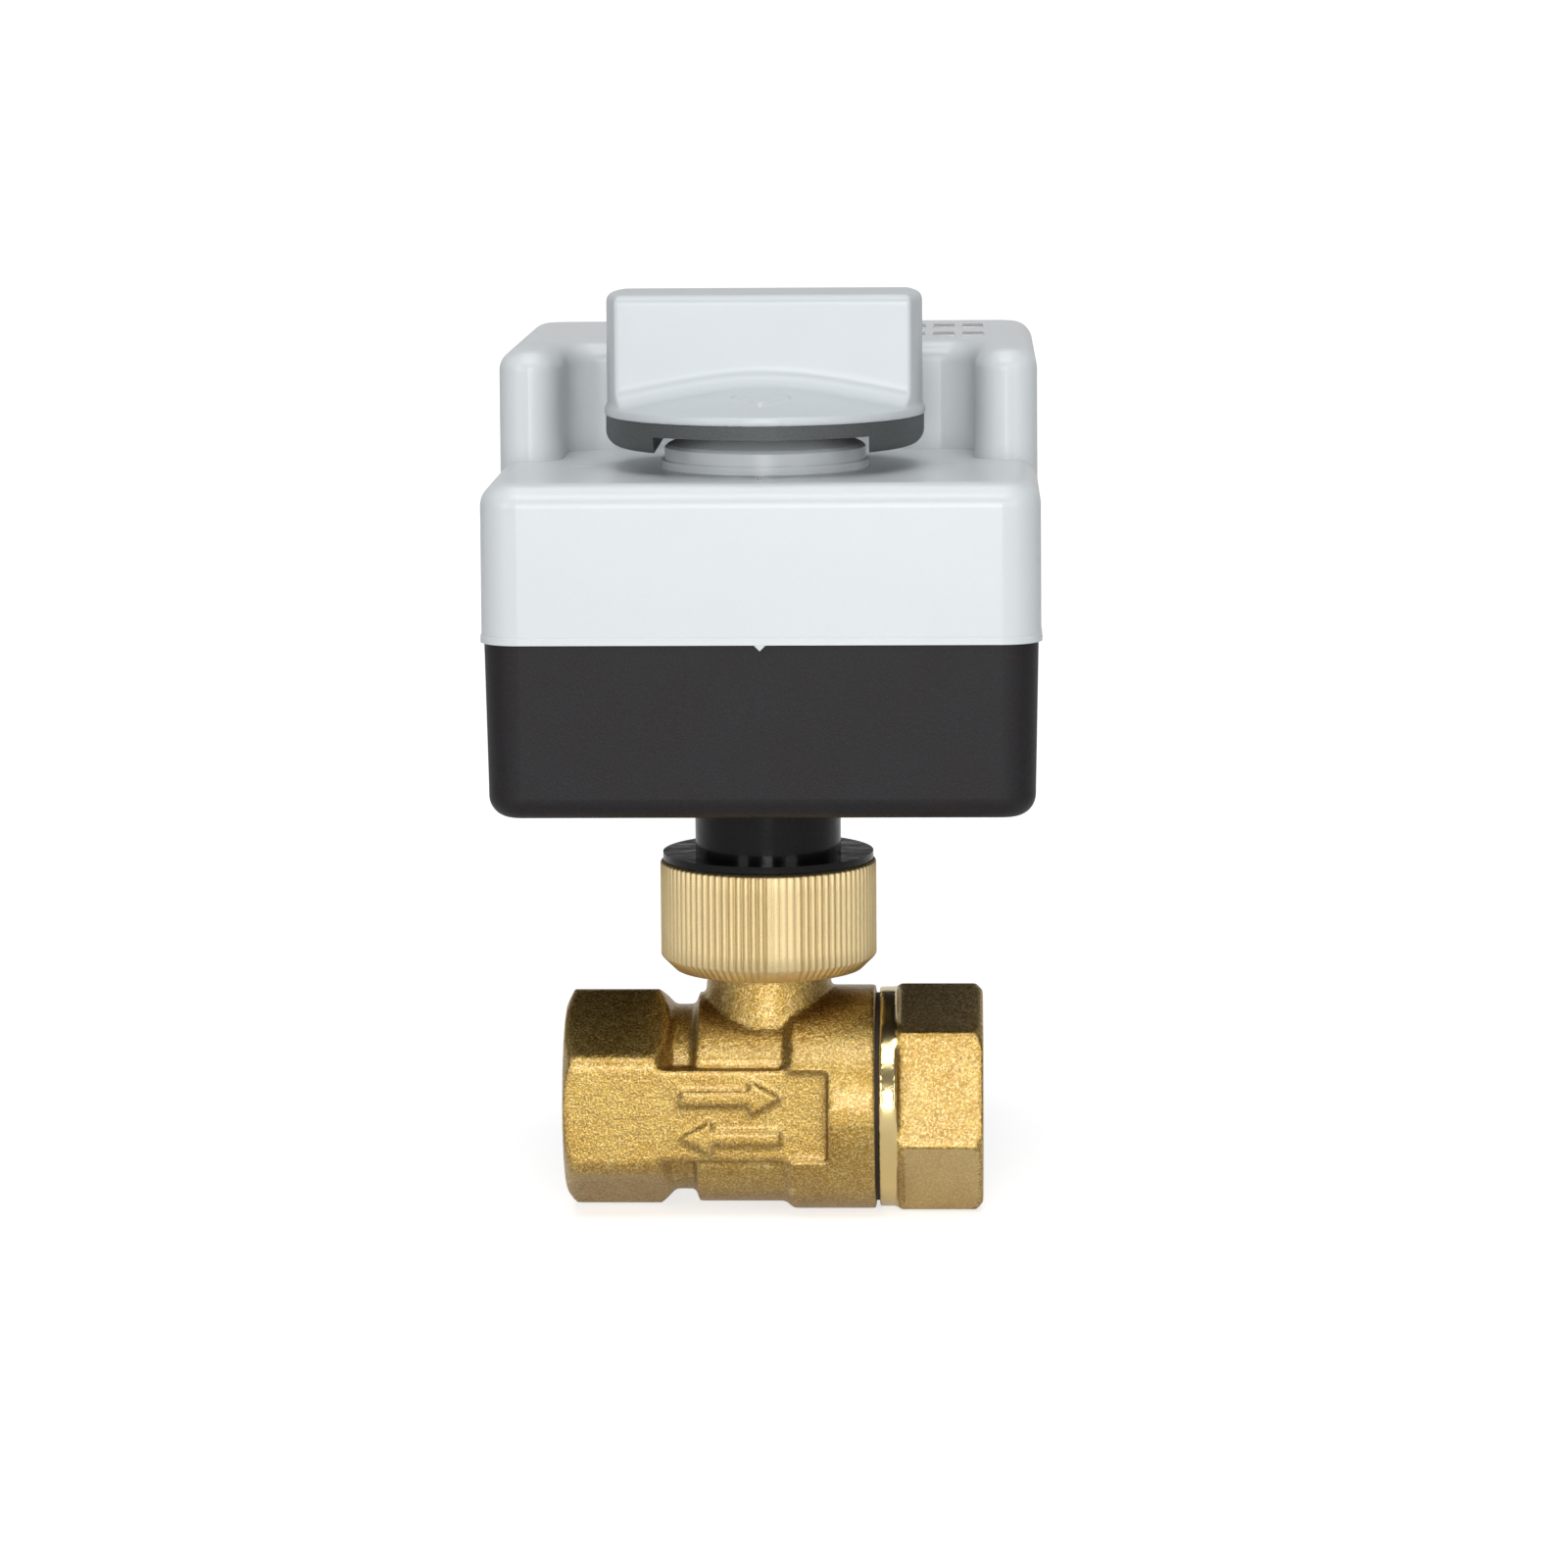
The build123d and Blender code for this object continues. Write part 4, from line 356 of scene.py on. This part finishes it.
FINISHES = {
    "cast_brass": cast_brass(),
    "turned_brass": turned_brass(),
    "cover_plastic": moulded("cover_plastic", (0.64, 0.675, 0.686), roughness=0.30, grain=0.16, depth=0.005,
                             fleck=0.02, corner_shade_keep=0.80, inked_above=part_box("cover")[1].z - MARK_RELIEF / 2),
    "knob_plastic": moulded("knob_plastic", (0.555, 0.592, 0.612), roughness=0.30, grain=0.14, depth=0.004,
                            fleck=0.02, corner_shade_keep=0.82),
    "dark_plastic": moulded("dark_plastic", (0.062, 0.070, 0.069), roughness=0.5, grain=0.22, depth=0.03,
                            fleck=0.25, corner_shade_keep=0.6),
    "base_plastic": moulded("base_plastic", (0.0115, 0.0100, 0.0110), roughness=0.46, grain=0.26, depth=0.035,
                            fleck=0.22, corner_shade_keep=0.6, specks=0.8, Specular_IOR_Level=0.26),
    "gloss_black": gloss_black(),
    "bright_steel": bright_metal("bright_steel", (0.62, 0.61, 0.60), 0.16),
    "zinc_steel": bright_metal("zinc_steel", (0.66, 0.67, 0.68), 0.28, scratch=0.1),
    "chrome_brass": bright_metal("chrome_brass", (0.80, 0.80, 0.81), 0.04, scratch=0.05),
    "white_ptfe": moulded("white_ptfe", (0.86, 0.86, 0.83), roughness=0.35, grain=0.3, depth=0.004,
                          fleck=0.02),
    "black_rubber": moulded("black_rubber", (0.018, 0.018, 0.018), roughness=0.62, grain=0.2, depth=0.02),
    "natural_acetal": moulded("natural_acetal", (0.80, 0.78, 0.70), roughness=0.33, grain=0.5, depth=0.006,
                              fleck=0.02),
    "switch_plastic": moulded("switch_plastic", (0.02, 0.02, 0.022), roughness=0.35, grain=0.12, depth=0.01),
    "plunger_plastic": moulded("plunger_plastic", (0.42, 0.02, 0.012), roughness=0.3, grain=0.1, depth=0.004),
    "board_laminate": board_laminate(),
    "terminal_plastic": moulded("terminal_plastic", (0.03, 0.17, 0.07), roughness=0.35, grain=0.2,
                                depth=0.01),
    "relay_plastic": moulded("relay_plastic", (0.03, 0.09, 0.30), roughness=0.3, grain=0.15, depth=0.006),
    "capacitor_sleeve": moulded("capacitor_sleeve", (0.016, 0.018, 0.03), roughness=0.25, grain=0.3,
                                depth=0.004),
}
for node, slot in SLOT_OF.items():
    NODES[node].data.materials.clear()
    NODES[node].data.materials.append(FINISHES[slot])


# ------------------------------------------------------------------ geometry trees
def geometry_tree(name, inputs):
    """An empty geometry tree with the named number inputs; returns its sheet, its inputs and a finisher."""
    tree = bpy.data.node_groups.new(name, "GeometryNodeTree")
    tree.interface.new_socket("Geometry", in_out="INPUT", socket_type="NodeSocketGeometry")
    for key in inputs:
        tree.interface.new_socket(key, in_out="INPUT", socket_type="NodeSocketFloat")
    tree.interface.new_socket("Geometry", in_out="OUTPUT", socket_type="NodeSocketGeometry")
    sheet = Sheet(tree)
    group_in = tree.nodes.new("NodeGroupInput")
    given = {socket.name: Wire(sheet, socket) for socket in group_in.outputs if socket.name}

    def close(geometry, material):
        real = sheet.node("GeometryNodeRealizeInstances", inputs={"Geometry": geometry})
        done = sheet.node("GeometryNodeSetMaterial", inputs={"Geometry": real, "Material": material})
        sheet.node("NodeGroupOutput", inputs={0: done})
        return tree

    return sheet, given, close


def run_tree(tree, values, start=None):
    """Runs a geometry tree on a mesh and returns the plain mesh that comes out."""
    mesh = start or bpy.data.meshes.new("seed")
    carrier = bpy.data.objects.new("carrier", mesh)
    bpy.context.scene.collection.objects.link(carrier)
    modifier = carrier.modifiers.new("tree", "NODES")
    modifier.node_group = tree
    for item in tree.interface.items_tree:
        if item.in_out == "INPUT" and item.name in values:
            modifier[item.identifier] = float(values[item.name])
    return settle(carrier)


def settle(carrier):
    """Turns an object with modifiers into a plain mesh and removes the object."""
    bpy.context.view_layer.update()
    graph = bpy.context.evaluated_depsgraph_get()
    mesh = bpy.data.meshes.new_from_object(carrier.evaluated_get(graph), depsgraph=graph)
    bpy.data.objects.remove(carrier)
    return mesh


def piece(name, mesh, stands_for):
    """A finished piece that replaces a CAD node, rides on its body and takes its slot's finish."""
    mesh.name = name
    mesh.materials.clear()
    mesh.materials.append(FINISHES[SLOT_OF[stands_for]])
    mesh.shade_smooth()
    made = bpy.data.objects.new(name, mesh)
    bpy.context.scene.collection.objects.link(made)
    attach(made, BODY_OF[stands_for])
    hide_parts(stands_for)


def joined(*meshes):
    """One mesh from several, with doubled points merged."""
    work = bmesh.new()
    for mesh in meshes:
        work.from_mesh(mesh)
    bmesh.ops.remove_doubles(work, verts=work.verts, dist=1e-6)
    bmesh.ops.recalc_face_normals(work, faces=work.faces)
    made = bpy.data.meshes.new("joined")
    work.to_mesh(made)
    work.free()
    return made


def softened(mesh, voxel, rounds):
    """Closes a mesh over at the voxel size and smooths it, which rounds every corner as a casting's."""
    carrier = bpy.data.objects.new("softened", mesh)
    bpy.context.scene.collection.objects.link(carrier)
    remesh = carrier.modifiers.new("remesh", "REMESH")
    remesh.mode = "VOXEL"
    remesh.voxel_size = voxel
    smooth = carrier.modifiers.new("smooth", "SMOOTH")
    smooth.factor = 0.5
    smooth.iterations = rounds
    return settle(carrier)


# ------------------------------------------------------------------ brass
def thread_ridge_tree():
    """The helical ridge of an internal pipe thread, along X from the origin."""
    sheet, given, close = geometry_tree("thread_ridge", ["Wall radius", "Depth", "Pitch", "Turns"])
    radius = given["Wall radius"] + given["Depth"] * 0.25
    spiral = sheet.node("GeometryNodeCurveSpiral", inputs={
        "Resolution": 48, "Rotations": given["Turns"], "Start Radius": radius, "End Radius": radius,
        "Height": given["Pitch"] * given["Turns"]})
    along = sheet.node("GeometryNodeSplineParameter")
    tip = sheet.math("MINIMUM", sheet.math("MINIMUM", along * 9, (1 - along) * 9), 1.0)
    tapered = sheet.node("GeometryNodeSetCurveRadius", inputs={"Curve": spiral, "Radius": tip * 0.9 + 0.1})
    upright = sheet.node("GeometryNodeSetCurveNormal", {"mode": "Z_UP"}, {"Curve": tapered})
    section = sheet.node("GeometryNodeCurvePrimitiveCircle", {"mode": "RADIUS"},
                         {"Resolution": 4, "Radius": 1.0})
    sized = sheet.node("GeometryNodeTransform", inputs={
        "Geometry": section, "Scale": sheet.combine(given["Depth"] * 1.25, given["Pitch"] * 0.56, 1.0)})
    ridge = sheet.node("GeometryNodeCurveToMesh", inputs={
        "Curve": upright, "Profile Curve": sized, "Fill Caps": True})
    laid = sheet.node("GeometryNodeTransform", inputs={"Geometry": ridge, "Rotation": (0, math.pi / 2, 0)})
    return close(laid, FINISHES["cast_brass"])


THREAD = {"Wall radius": 10.48 * MM, "Depth": 1.16 * MM, "Pitch": 1.814 * MM, "Turns": 5.6}
THREAD_LEAD_IN = 1.5 * MM
CASTING_VOXEL = 0.37 * MM
CASTING_ROUNDS = 3


def cast_parts():
    """The valve body and the end cap, with threads in their ports and the soft corners of castings."""
    tree = thread_ridge_tree()
    thread_length = THREAD["Pitch"] * THREAD["Turns"]
    inlet = run_tree(tree, THREAD)
    inlet.transform(Matrix.Translation((THREAD_LEAD_IN, 0, 0)))
    outlet = run_tree(tree, THREAD)
    outlet.transform(Matrix.Translation((PIPE_LENGTH - THREAD_LEAD_IN - thread_length, 0, 0)))
    body = softened(joined(NODES["valve_body"].data, inlet), CASTING_VOXEL, CASTING_ROUNDS)
    piece("cast_valve_body", body, "valve_body")
    cap = softened(joined(NODES["end_cap"].data, outlet), CASTING_VOXEL, CASTING_ROUNDS)
    piece("cast_end_cap", cap, "end_cap")


# ------------------------------------------------------------------ coupling nut
def knurling_tree():
    """Cuts rounded ridges with sharp valleys into the outer wall of a turned blank on Z, to a share of their
    depth at its low end and on the strip where it is worn."""
    worn_share, low_share = 0.35, 0.4
    sheet, given, close = geometry_tree("knurling", [
        "Axis X", "Outer radius", "Ridges", "Depth", "Bottom", "Run out", "Worn direction",
        "Worn half width"])
    place = sheet.node("GeometryNodeInputPosition")
    x, y, z = sheet.split(place)
    x = x - given["Axis X"]
    angle = sheet.math("ARCTAN2", y, x)
    radius = sheet.vector_math("LENGTH", sheet.combine(x, y, 0), out=1)
    crest = abs((angle * given["Ridges"] / 2).sin()) ** 0.8
    away = abs(sheet.math("WRAP", angle - given["Worn direction"], math.pi, -math.pi))
    ridged = sheet.math("GREATER_THAN", away, given["Worn half width"]) * (1 - worn_share) + worn_share
    wall = sheet.math("GREATER_THAN", radius, given["Outer radius"] - 0.9 * MM)
    low_end = sheet.math("MINIMUM", sheet.math("MAXIMUM", (z - given["Bottom"]) / given["Run out"], 0.0), 1.0)
    cut = (1 - crest) * ridged * wall * given["Depth"] * (low_end * (1 - low_share) + low_share)
    inward = sheet.combine(x / radius * cut * -1, y / radius * cut * -1, 0.0)
    moved = sheet.node("GeometryNodeSetPosition", inputs={"Geometry": given["Geometry"], "Offset": inward})
    return close(moved, FINISHES["turned_brass"])


def turned_blank(profile, axis_x, steps):
    """A closed ring turned about the vertical axis at axis_x from a closed (radius, height) outline."""
    work = bmesh.new()
    rings = []
    for step in range(steps):
        angle = 2 * math.pi * step / steps
        ring = [(axis_x + r * math.cos(angle), r * math.sin(angle), z) for r, z in profile]
        rings.append([work.verts.new(corner) for corner in ring])
    count = len(profile)
    for step in range(steps):
        here, there = rings[step], rings[(step + 1) % steps]
        for k in range(count):
            work.faces.new((here[k], there[k], there[(k + 1) % count], here[(k + 1) % count]))
    bmesh.ops.recalc_face_normals(work, faces=work.faces)
    mesh = bpy.data.meshes.new("blank")
    work.to_mesh(mesh)
    work.free()
    return mesh


def knurled_nut():
    """The coupling nut, turned from its CAD node's height and width and then knurled."""
    low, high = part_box("coupling_nut")
    axis_x = (low.x + high.x) / 2
    outer = (high.x - low.x) / 2
    bore, lip = 12.08 * MM, 10.2 * MM
    lip_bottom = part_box("snap_ring")[1].z + 0.3 * MM
    chamfer, edge = 1.9 * MM, 0.35 * MM
    ridges, steps_per_ridge = 88, 10
    profile = [
        (bore, low.z + 0.3 * MM), (bore + 0.3 * MM, low.z), (outer - chamfer - 0.2 * MM, low.z),
        (outer - chamfer, low.z + 0.04 * MM), (outer - 0.15 * MM, low.z + chamfer - 0.15 * MM),
        (outer, low.z + chamfer + 0.1 * MM)]
    walls, wall_height = 6, high.z - edge - low.z - chamfer
    profile += [(outer, low.z + chamfer + wall_height * (k + 1) / walls) for k in range(walls)]
    profile += [
        (outer - 0.1 * MM, high.z - 0.1 * MM), (outer - edge, high.z), (lip, high.z), (lip, lip_bottom),
        (bore, lip_bottom)]
    values = {
        "Axis X": axis_x, "Outer radius": outer, "Ridges": ridges, "Depth": 0.42 * MM, "Bottom": low.z,
        "Run out": 1.6 * MM, "Worn direction": math.radians(-80), "Worn half width": math.radians(7)}
    blank = turned_blank(profile, axis_x, ridges * steps_per_ridge)
    piece("knurled_nut", run_tree(knurling_tree(), values, start=blank), "coupling_nut")


# ------------------------------------------------------------------ knob
KNOB_VOXEL = 0.28 * MM
KNOB_ROUNDS = 2


def moulded_knob():
    """The knob's cap with the soft corners of a moulding."""
    piece("moulded_knob", softened(joined(NODES["knob_cap"].data), KNOB_VOXEL, KNOB_ROUNDS), "knob_cap")


# ------------------------------------------------------------------ studio
MIRRORED = 0.3
STEM_X = sum(corner.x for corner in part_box("output_shaft")) / 2


def studio_finish(name, colour, glow):
    """Pale stage surface; what the camera or a mirror sees of it is lifted to near white."""
    f = Finish(name, Roughness=0.9)
    path = f.node("ShaderNodeLightPath").socket.node
    seen = [Wire(f, path.outputs[key]) for key in ("Is Camera Ray", "Is Glossy Ray", "Is Transmission Ray")]
    watched = f.math("MINIMUM", seen[0] + (seen[1] + seen[2]) * MIRRORED, 1.0)
    paper = f.noise(f.place(), 0.02, detail=2)
    f.set(Base_Color=f.mix(paper * 0.04, colour, shade(colour, 0.95)))
    f.set(Emission_Color=f.mix(watched, (0, 0, 0), (glow, glow, glow)))
    f.shader.inputs["Emission Strength"].default_value = 1.0
    return f.material


def stage():
    """A floor that sweeps up into a backdrop behind the object."""
    floor_z = cad_box[0][2]
    half, front, back, bend, wall, bend_steps = 3.0, -3.0, 1.2, 0.5, 1.0, 12
    outline = [(front, floor_z), (back - bend, floor_z)]
    for step in range(1, bend_steps + 1):
        turn = math.pi / 2 * step / bend_steps
        outline.append((back - bend + bend * math.sin(turn), floor_z + bend - bend * math.cos(turn)))
    outline.append((back, floor_z + wall))
    work = bmesh.new()
    rows = [[work.verts.new((x, y, z)) for x in (-half, half)] for y, z in outline]
    for lower, upper in zip(rows, rows[1:]):
        work.faces.new((lower[0], lower[1], upper[1], upper[0]))
    mesh = bpy.data.meshes.new("backdrop")
    work.to_mesh(mesh)
    work.free()
    mesh.shade_smooth()
    mesh.materials.append(studio_finish("studio_paper", (0.66, 0.66, 0.66), 0.68))
    sweep = bpy.data.objects.new("backdrop", mesh)
    bpy.context.scene.collection.objects.link(sweep)


def softbox(name, place, size, power, shine=1.0):
    """A rectangular lamp aimed at the middle of the object; shine scales its mirror reflections."""
    light = bpy.data.lights.new(name, "AREA")
    light.shape = "RECTANGLE"
    light.size, light.size_y = size
    light.energy = power
    light.specular_factor = shine
    lamp = bpy.data.objects.new(name, light)
    lamp.location = place
    middle = Vector((STEM_X, 0.0, 0.045))
    lamp.rotation_euler = (middle - Vector(place)).to_track_quat("-Z", "Y").to_euler()
    bpy.context.scene.collection.objects.link(lamp)


def lighting():
    softbox("front_softbox", (STEM_X + 0.02, -1.6, 0.14), (0.40, 0.7), 10.5)
    softbox("left_softbox", (STEM_X - 1.25, -1.6, 0.5), (0.6, 0.8), 7, shine=0.2)
    softbox("right_softbox", (STEM_X + 1.25, -1.6, 0.5), (0.6, 0.8), 7, shine=0.2)
    softbox("upper_softbox", (STEM_X, -0.85, 1.25), (1.0, 0.6), 7.5, shine=0.32)
    softbox("overhead_softbox", (STEM_X, 0.1, 1.5), (0.9, 0.9), 5.5, shine=0.4)
    world = bpy.data.worlds.new("studio")
    bpy.context.scene.world = world
    world.use_nodes = True
    sky = Sheet(world.node_tree)
    sky.tree.nodes.clear()
    glow = sky.node("ShaderNodeBackground", inputs={"Color": (0.95, 0.97, 1.0, 1), "Strength": 0.17})
    sky.node("ShaderNodeOutputWorld", inputs={"Surface": glow})


def camera():
    """A long lens a little above and to the right of the front."""
    distance, pitch, swing, roll = 0.750, math.radians(8.7), math.radians(1.9), math.radians(0.4)
    aim = Vector((STEM_X + 0.00225, 0, 0.0441))
    level = math.cos(pitch)
    forward = Vector((-math.sin(swing) * level, math.cos(swing) * level, -math.sin(pitch)))
    data = bpy.data.cameras.new("camera")
    data.sensor_width = 36
    data.lens = 124.3
    eye = bpy.data.objects.new("camera", data)
    eye.location = aim - distance * forward
    eye.rotation_euler = (forward.to_track_quat("-Z", "Y") @ Quaternion((0, 0, 1), -roll)).to_euler()
    bpy.context.scene.collection.objects.link(eye)
    bpy.context.scene.camera = eye


camera()
lighting()
stage()
cast_parts()
knurled_nut()
moulded_knob()

bpy.context.scene.view_settings.view_transform = "Standard"
